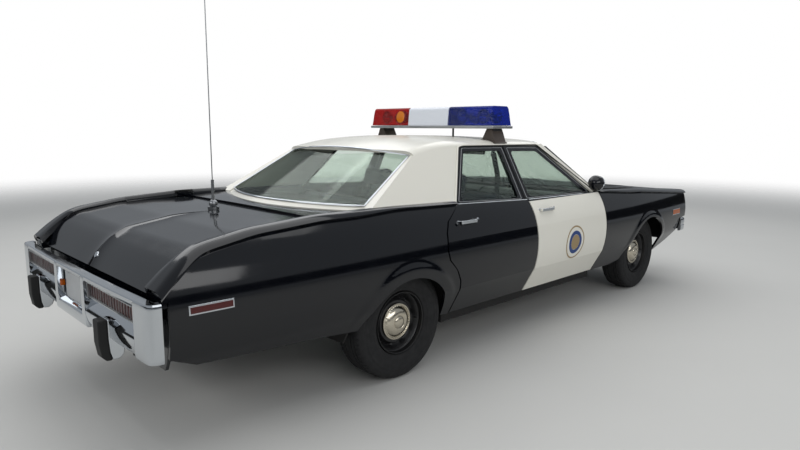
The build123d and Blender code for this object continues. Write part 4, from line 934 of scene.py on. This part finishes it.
# Feet: a tapered leg on a flat shoe that follows the roof, sunk 12 mm more past y = 0.6, where the roof rolls over
for name, y in (("left", 0.585), ("right", -0.585)):
    ends = y - 0.068, y + 0.068
    low = [float(crown_z(e) - roof_drop(BAR_AT)) - 0.012 * (abs(e) > 0.6) for e in ends]
    legs = [prism([(y - 0.064, low[0]), (y + 0.064, low[1]), (y + 0.022, 1.483), (y - 0.022, 1.483)],
                  BAR_AT - 0.066, BAR_AT + 0.066, 0),
            prism([(ends[0], low[0] - 0.004), (ends[1], low[1] - 0.004), (y + 0.066, low[1] + 0.007),
                   (y - 0.066, low[0] + 0.007)], BAR_AT - 0.074, BAR_AT + 0.074, 0)]
    mesh_piece("bar_foot_" + name, together(*legs), "root", BROWN, bevel=0.004)
    grip = block((BAR_AT - 0.05, y - 0.034 if y > 0 else y - 0.03, 1.462), (BAR_AT + 0.05, y + 0.03, 1.4835))
    mesh_piece("bar_clamp_" + name, grip, "root", PLASTIC, bevel=0.003)
# Post that carries the bar's cable down to the roof
POST_X, POST_Y = -0.05, -0.26
cable_post = tube([(POST_X, POST_Y, crown_z(POST_Y) - 0.012), (POST_X, POST_Y, 1.484)], 0.0075, up=AHEAD)
mesh_piece("cable_post", cable_post, "root", PLASTIC)

# Lamps inside the domes: dished reflectors back to back, the one at the red dome's inner end amber, with an amber
# glass let into each face of the dome before it
REFLECTOR = [(0.03, 0.052), (0.012, 0.046), (-0.004, 0.03), (-0.012, 0), (-0.016, 0), (-0.008, 0.034), (0.01, 0.05),
             (0.03, 0.054), (0.03, 0.052)]
for name, y, finish in (("amber", 0.3, AMBER), ("red", 0.5, CHROME), ("blue_inner", -0.34, CHROME),
                        ("blue_outer", -0.54, CHROME)):
    for tag, face in (("rear", -1), ("ahead", 1)):
        dish = lathe(REFLECTOR, (BAR_AT + face * 0.05, y, 1.572), (face, 0, 0), 48)
        mesh_piece(f"lamp_{name}_{tag}", dish, "root", finish)
        if name == "amber":
            lamp = lathe([(0.0006, 0), (0.0006, 0.044), (-0.001, 0.048), (-0.005, 0.048), (-0.005, 0)],
                         (BAR_AT + face * 0.102, y + 0.012, 1.574), (face, 0, 0.099), 48)
            mesh_piece(f"lamp_lens_{tag}", lamp, "root", AMBER_LAMP)
lamp_base = block((BAR_AT - 0.09, -0.64, TRAY_TOP + 0.0005), (BAR_AT + 0.09, 0.64, 1.51))
mesh_piece("lamp_base", lamp_base, "root", SATIN)

# Swivel lamps on the front pillars
AIM = np.array((0.93, 0.1, -0.34)) / np.linalg.norm((0.93, 0.1, -0.34))
SPOT = np.array((1.022, 0.888, 1.046))
shell = lathe([(-0.052, 0), (-0.0515, 0.008), (-0.049, 0.02), (-0.043, 0.034), (-0.032, 0.048), (-0.018, 0.0575),
               (0, 0.0625), (0.02, 0.0645), (0.028, 0.0645), (0.028, 0.058), (-0.01, 0.05), (-0.04, 0)],
              SPOT, AIM, 64)
rim = lathe([(0.0275, 0.0628), (0.03, 0.066), (0.036, 0.066), (0.041, 0.0625), (0.042, 0.058), (0.036, 0.0565),
             (0.0275, 0.0575), (0.0275, 0.0628)], SPOT, AIM, 64)
bowl = lathe([(0.033, 0.0575), (0.02, 0.054), (0.0, 0.038), (-0.01, 0.018), (-0.012, 0), (-0.016, 0), (-0.014, 0.02),
              (-0.004, 0.041), (0.018, 0.0565), (0.033, 0.0575)], SPOT, AIM, 64)
pane = lathe([(0.04, 0), (0.0395, 0.03), (0.036, 0.057), (0.033, 0.057), (0.036, 0.03), (0.0365, 0)], SPOT, AIM, 64)
joint = SPOT - AIM * 0.04 + (0.01, -0.004, -0.012)
foot = lathe([(-0.016, 0.016), (0.016, 0.016), (0.02, 0.01), (0.021, 0), (-0.021, 0), (-0.02, 0.01), (-0.016, 0.016)],
             (1.052, 0.822, 0.994), (0, 1, 0.3), 32)
arm = together(tube([SPOT - AIM * 0.03, joint + (0.012, -0.02, -0.02), (1.04, 0.83, 1.0), (1.055, 0.81, 0.99)],
                    0.0105, n=16), foot)
mesh_piece("spot_shells", both(shell), "root", BLACK, ["spotlights"])
for name, shape, finish in (("rims", rim, CHROME), ("bowls", bowl, CHROME), ("panes", pane, LENS),
                            ("arms", arm, CHROME)):
    mesh_piece("spot_" + name, both(shape), "root", finish)

# ------------------------------------------------------------------ cabin
def pad(size, radius, crown, channels, pinch=0.012, n=56):
    """Stuffed pad about the origin: a box rounded by radius, its broad faces (z) crowned by a parabola along x times
    a quartic along y, its ends drawn in between the corners by pinch, and sewn channels pressed in along x at the
    given y as Gaussians 9 mm deep."""
    half = np.array(size) / 2
    t = np.linspace(-1, 1, n)
    a, b = np.meshgrid(t, t, indexing="ij")
    faces = []
    for axis in range(3):
        for sign in (-1, 1):
            q = np.insert(np.stack([a, b], axis=2), axis, sign, axis=2)
            core = np.clip(q * half, radius - half, half - radius)
            away = q * half - core
            length = np.linalg.norm(away, axis=2, keepdims=True)
            q = core + away / np.maximum(length, 1e-9) * np.minimum(length, radius)
            x, y, z = np.moveaxis(q, 2, 0)
            bulge = (1 - (x / half[0]) ** 2) * (1 - (y / half[1]) ** 4)
            seam = sum(np.exp(-((y - c) / 0.009) ** 2) for c in channels) if channels else 0
            lift = (crown * bulge - 0.009 * seam * bulge) * smoothstep((np.abs(z) / half[2] - 0.5) / 0.4)
            z = z + np.sign(z) * lift
            draw = 1 - pinch * (1 - (y / half[1]) ** 2) / half[0] * (np.abs(z) < half[2])
            faces.append(grid(np.stack([x * draw, y, z], axis=2)))
    return together(*faces)


def placed(shape, at, lean=0.0):
    """The shape turned about y by lean radians, then moved."""
    v = shape[0]
    c, s = math.cos(lean), math.sin(lean)
    return np.stack([v[:, 0] * c + v[:, 2] * s, v[:, 1], -v[:, 0] * s + v[:, 2] * c], axis=1) + np.array(at), shape[1]


def piping(size, at, lean, z, r=0.006):
    """Sewn welt round the edge of a pad's broad face, at local height z."""
    a, b = size[0] / 2 - 0.012, size[1] / 2 - 0.012
    loop = softened([(a, -b + 0.05, z), (a, b, z), (-a, b, z), (-a, -b, z), (a, -b, z), (a, -b + 0.05, z),
                     (a, -b + 0.1, z)], 0.04, 0.012)[4:-4]
    return placed(tube(loop, r, n=8), at, lean)


# Bench seats: (size, place, lean) of the cushion and of the back, with sewn channels every 120 mm
CHANNELS = [c * 0.12 for c in range(-5, 6)]
SEATS = {"front_seat": [((0.54, 1.42, 0.15), (0.285, 0, 0.512), -0.06),
                        ((0.5, 1.42, 0.13), (-0.08, 0, 0.775), -1.16)],
         "rear_seat": [((0.5, 1.24, 0.15), (-0.5, 0, 0.51), -0.05),
                       ((0.46, 1.24, 0.12), (-0.865, 0, 0.775), -1.16)]}
for name, pads in SEATS.items():
    for part, (size, at, lean) in zip(("cushion", "back"), pads):
        shape = placed(pad(size, 0.055, 0.02, CHANNELS), at, lean)
        cushion = mesh_piece(f"{name}_{part}", shape, "root", VINYL, [name] if part == "cushion" else (), smooth=60)
        welt = piping(size, at, lean, size[2] / 2 - 0.012)
        mesh_piece(f"{name}_{part}_welt", welt, "root", FELT, smooth=60)
    (_, width, _), (x, _, _), _ = pads[0]
    base = block((x - 0.24, 0.02 - width / 2, 0.4), (x + 0.24, width / 2 - 0.02, 0.45))
    mesh_piece(name + "_base", base, "root", FELT, bevel=0.01)
for tag, y in (("right", -0.4), ("left", 0.4)):
    rest = placed(pad((0.15, 0.27, 0.09), 0.035, 0.008, []), (-0.235, y, 1.085), -1.3)
    mesh_piece("head_rest_" + tag, rest, "root", VINYL, smooth=60)
    posts = [tube([(-0.195, y + d, 0.985), (-0.225, y + d, 1.06)], 0.006) for d in (-0.06, 0.06)]
    mesh_piece("rest_posts_" + tag, together(*posts), "root", CHROME)

# Steering wheel: oval rim, two spokes, padded hub, horn ring and column
hub = np.array((0.64, 0.38, 0.83))
way = np.array((-0.9, 0, 0.45)) / math.hypot(0.9, 0.45)
upward = np.array((0.45, 0, 0.9)) / math.hypot(0.9, 0.45)
rim_t = np.linspace(0, 2 * math.pi, 97)[:-1, None]
round_hub = np.cos(rim_t) * (0, 1, 0) + np.sin(rim_t) * upward
rim_shape = tube(hub + 0.195 * round_hub, 0.0115, 0.0125, way, n=14, closed=True)
spokes = [tube(softened([hub + (0, s * 0.19, 0) - upward * 0.012, hub + (0, s * 0.06, 0) - way * 0.012], 0.01, 0.02),
               0.02, 0.006, way, n=12) for s in (-1, 1)]
boss = lathe([(0.012, 0), (0.01, 0.04), (0.002, 0.062), (-0.02, 0.066), (-0.04, 0.045), (-0.045, 0)], hub, way, 48)
column = lathe([(-0.02, 0.03), (-0.05, 0.036), (-0.24, 0.034), (-0.26, 0.02), (-0.02, 0.02), (-0.02, 0.03)], hub, way,
               40)
mesh_piece("steering_rim", together(rim_shape, *spokes, boss), "root", PLASTIC, ["steering_wheel"], smooth=50)
mesh_piece("steering_column", column, "root", PLASTIC)
horn = tube(hub + way * 0.004 + 0.11 * round_hub, 0.004, n=8, closed=True)
mesh_piece("horn_ring", horn, "root", CHROME)

# Dashboard: padded roll over a face panel with a dial hood, three dials and bright trims
section = softened([(1.07, 0.9), (1.015, 0.945), (0.87, 0.945), (0.815, 0.905), (0.818, 0.86), (0.835, 0.845),
                    (0.83, 0.75), (0.9, 0.705), (1.07, 0.705), (1.07, 0.9), (1.06, 0.912)], 0.012, 0.008)[1:-1]
ys = np.linspace(-0.765, 0.765, 60)[:, None]
dash = capped(sheet(section[:, 0], ys, section[:, 1], wrap_v=True), len(section))
mesh_piece("dash_roll", dash, "root", PLASTIC, ["dashboard"], bevel=0.003)
hood = prism([(0.8, 0.9), (0.79, 0.925), (0.86, 0.955), (0.95, 0.95), (0.95, 0.94), (0.84, 0.93)], 0.16, 0.62, 1)
mesh_piece("dial_hood", hood, "root", PLASTIC, bevel=0.004)
dials = [lathe([(0, 0.052), (0.008, 0.052), (0.01, 0.048), (0.004, 0.045), (0.003, 0), (0, 0)], (0.822, y, 0.87),
               (-1, 0, 0.12), 40) for y in (0.27, 0.39, 0.51)]
mesh_piece("dials", together(*dials), "root", CHROME)
trims = [block((0.817, -0.74, 0.8), (0.829, 0.74, 0.806)), block((0.822, -0.7, 0.765), (0.831, -0.28, 0.768)),
         block((0.815, -0.2, 0.84), (0.83, 0.06, 0.89))]
mesh_piece("dash_trims", together(*trims), "root", SATIN, bevel=0.001)

# Mirror, sun visors, radio and the belts that hang from the posts
MIRROR_AT, MIRROR_LEAN = (0.52, 0, 1.29), 0.1
mirror = placed(pad((0.014, 0.25, 0.055), 0.006, 0, [], 0, 14), MIRROR_AT, MIRROR_LEAN)
mesh_piece("inner_mirror", mirror, "root", PLASTIC)
mirror_face = placed(block((-0.0085, -0.115, -0.022), (-0.007, 0.115, 0.022)), MIRROR_AT, MIRROR_LEAN)
mesh_piece("mirror_face", mirror_face, "root", CHROME)
mesh_piece("mirror_stem", tube([(0.527, 0, 1.3), (0.56, 0, 1.34), (0.585, 0, 1.385)], 0.006), "root", CHROME)
for tag, side in (("right", -1), ("left", 1)):
    visor = placed(pad((0.15, 0.42, 0.02), 0.009, 0.003, [], 0.004, 20), (0.43, side * 0.31, 1.362), 0.12)
    mesh_piece("sun_visor_" + tag, visor, "root", VINYL, smooth=60)
    belt = tube([(0.02, side * 0.6, 1.3), (0.0, side * 0.655, 1.15), (-0.06, side * 0.7, 0.9),
                 (-0.08, side * 0.72, 0.62)], 0.022, 0.0012, (side * 0.9, 0, 0.3), n=8)
    mesh_piece("seat_belt_" + tag, belt, "root", FELT)
    cuff = lathe([(0, 0.02), (0.01, 0.022), (0.014, 0.012), (0.014, 0)], (0.02, side * 0.6, 1.3), (0, -side, 0.2), 24)
    mesh_piece("belt_anchor_" + tag, cuff, "root", CHROME)
radio = placed(pad((0.2, 0.18, 0.06), 0.01, 0, [], 0, 14), (0.86, 0, 0.66), -0.3)
mesh_piece("radio_box", radio, "root", PLASTIC)

# White front doors, black above the belt line: window frames and top edges
BELT_TOP = 0.9685
DOOR_WHITE = material("door_white_enamel", WHITE_HEX, 0.2, rough_vary=0.06, rough_mm=167)
tree = DOOR_WHITE.node_tree
height = add(tree, "ShaderNodeSeparateXYZ", {"Vector": add(tree, "ShaderNodeTexCoord").outputs["Object"]})
line = add(tree, "ShaderNodeMath", {0: height.outputs["Z"], 1: BELT_TOP}, operation="GREATER_THAN")
split = add(tree, "ShaderNodeMix", {"Factor": line.outputs["Value"], 6: linear(WHITE_HEX), 7: linear("07080B")},
            data_type="RGBA")
tree.links.new(split.outputs[2], tree.nodes["Principled BSDF"].inputs["Base Color"])
for side in ("left", "right"):
    node = frame["nodes"]["door_front_" + side]
    node.data.materials.clear()
    node.data.materials.append(DOOR_WHITE)

# ------------------------------------------------------------------ camera, lights and floor
CAMERA_AT = (-3.6525, -3.4128, 1.486)
YAW, PITCH, ROLL = math.radians(46.04), math.radians(9.011), math.radians(0.294)
FOCAL_PX, FRAME_W, SENSOR_MM = 613.5, 800, 36
look = Vector((math.cos(YAW) * math.cos(PITCH), math.sin(YAW) * math.cos(PITCH), -math.sin(PITCH)))
right = Vector((math.sin(YAW), -math.cos(YAW), 0))
up = right.cross(look)
right, up = (math.cos(ROLL) * right + math.sin(ROLL) * up, -math.sin(ROLL) * right + math.cos(ROLL) * up)
camera = bpy.data.objects.new("camera", bpy.data.cameras.new("camera"))
bpy.context.scene.collection.objects.link(camera)
camera.data.sensor_width = SENSOR_MM
camera.data.lens = SENSOR_MM * FOCAL_PX / FRAME_W
camera.matrix_world = Matrix.Translation(CAMERA_AT) @ Matrix((right, up, -look)).transposed().to_4x4()
camera.data.clip_start, camera.data.clip_end = 0.05, 200
bpy.context.scene.camera = camera


def area_light(name, place, target, width, height, watts):
    """Soft rectangular lamp that faces a point."""
    data = bpy.data.lights.new(name, "AREA")
    data.shape = "RECTANGLE"
    data.size, data.size_y, data.energy = width, height, watts
    lamp = bpy.data.objects.new(name, data)
    bpy.context.scene.collection.objects.link(lamp)
    lamp.location = place
    lamp.rotation_euler = (Vector(target) - Vector(place)).to_track_quat("-Z", "Y").to_euler()


area_light("top", (-0.5, 0.0, 6.5), (0, 0, 0.5), 9, 6, 190)
area_light("right", (-2.5, -7.5, 3.6), (-0.3, 0, 0.7), 8, 2.4, 150)
area_light("rear", (-8.0, 1.0, 3.8), (-1, 0, 0.7), 6, 2.4, 110)
area_light("front", (7.0, 1.5, 6.5), (1, 0, 0.7), 7, 4, 170)
area_light("left", (1.0, 6.5, 6.5), (0, 0, 0.7), 9, 4, 170)

world = bpy.data.worlds.new("studio")
bpy.context.scene.world = world
world.use_nodes = True
sky = world.node_tree
sky.nodes.clear()
path = add(sky, "ShaderNodeLightPath")
dim = add(sky, "ShaderNodeBackground", {"Color": linear("DDE3EA"), "Strength": 0.5})
plain = add(sky, "ShaderNodeBackground", {"Color": (1, 1, 1, 1), "Strength": 1.0})
chosen = add(sky, "ShaderNodeMixShader", {0: path.outputs["Is Camera Ray"], 1: dim.outputs[0], 2: plain.outputs[0]})
add(sky, "ShaderNodeOutputWorld", {"Surface": chosen.outputs[0]})
bpy.context.scene.view_settings.view_transform = "Standard"

# Pale studio floor
FLOOR = material("studio_floor", "C9C8C4", 0.75, vary=0.04, vary_mm=667, bump=0.1, grain_mm=17)
# The floor thins out into the white background, and a camera under it looks through
FADE_FROM, FADE_TO, FLOOR_HALF = 8.0, 17.0, 40
tree = FLOOR.node_tree
away = add(tree, "ShaderNodeVectorMath", {0: add(tree, "ShaderNodeTexCoord").outputs["Object"]}, operation="LENGTH")
fade = add(tree, "ShaderNodeMapRange", {"Value": away.outputs["Value"], "From Min": FADE_FROM, "From Max": FADE_TO},
           interpolation_type="SMOOTHSTEP")
beneath = add(tree, "ShaderNodeMath", {0: add(tree, "ShaderNodeNewGeometry").outputs["Backfacing"],
                                       1: add(tree, "ShaderNodeLightPath").outputs["Is Camera Ray"]},
              operation="MULTIPLY")
gone = add(tree, "ShaderNodeMath", {0: fade.outputs["Result"], 1: beneath.outputs[0]}, operation="MAXIMUM")
ghost = add(tree, "ShaderNodeBsdfTransparent")
mixed = add(tree, "ShaderNodeMixShader", {0: gone.outputs[0], 1: tree.nodes["Principled BSDF"].outputs[0],
                                          2: ghost.outputs[0]})
tree.links.new(mixed.outputs[0], tree.nodes["Material Output"].inputs["Surface"])
mesh = bpy.data.meshes.new("floor")
corners = [(x * FLOOR_HALF, y * FLOOR_HALF, 0) for x, y in ((-1, -1), (1, -1), (1, 1), (-1, 1))]
mesh.from_pydata(corners, [], [(0, 1, 2, 3)])
floor = bpy.data.objects.new("floor", mesh)
floor.data.materials.append(FLOOR)
bpy.context.scene.collection.objects.link(floor)

# Dark band round the horizon, seen only in reflections
BAND_R, BAND_LOW, BAND_HIGH, SPANS = 24, 0.1, 3.2, 64
turn = np.linspace(0, 2 * math.pi, SPANS + 1)[:-1]
ring = np.stack([BAND_R * np.cos(turn), BAND_R * np.sin(turn)], axis=1)
wall = bpy.data.objects.new("horizon", bpy.data.meshes.new("horizon"))
rows = [(x, y, z) for z in (BAND_LOW, BAND_HIGH) for x, y in ring]
quads = [(i, (i + 1) % SPANS, SPANS + (i + 1) % SPANS, SPANS + i) for i in range(SPANS)]
wall.data.from_pydata(rows, [], quads)
wall.data.materials.append(material("horizon_band", "34322E", 0.9))
bpy.context.scene.collection.objects.link(wall)
wall.visible_camera = wall.visible_shadow = wall.visible_diffuse = wall.visible_transmission = False
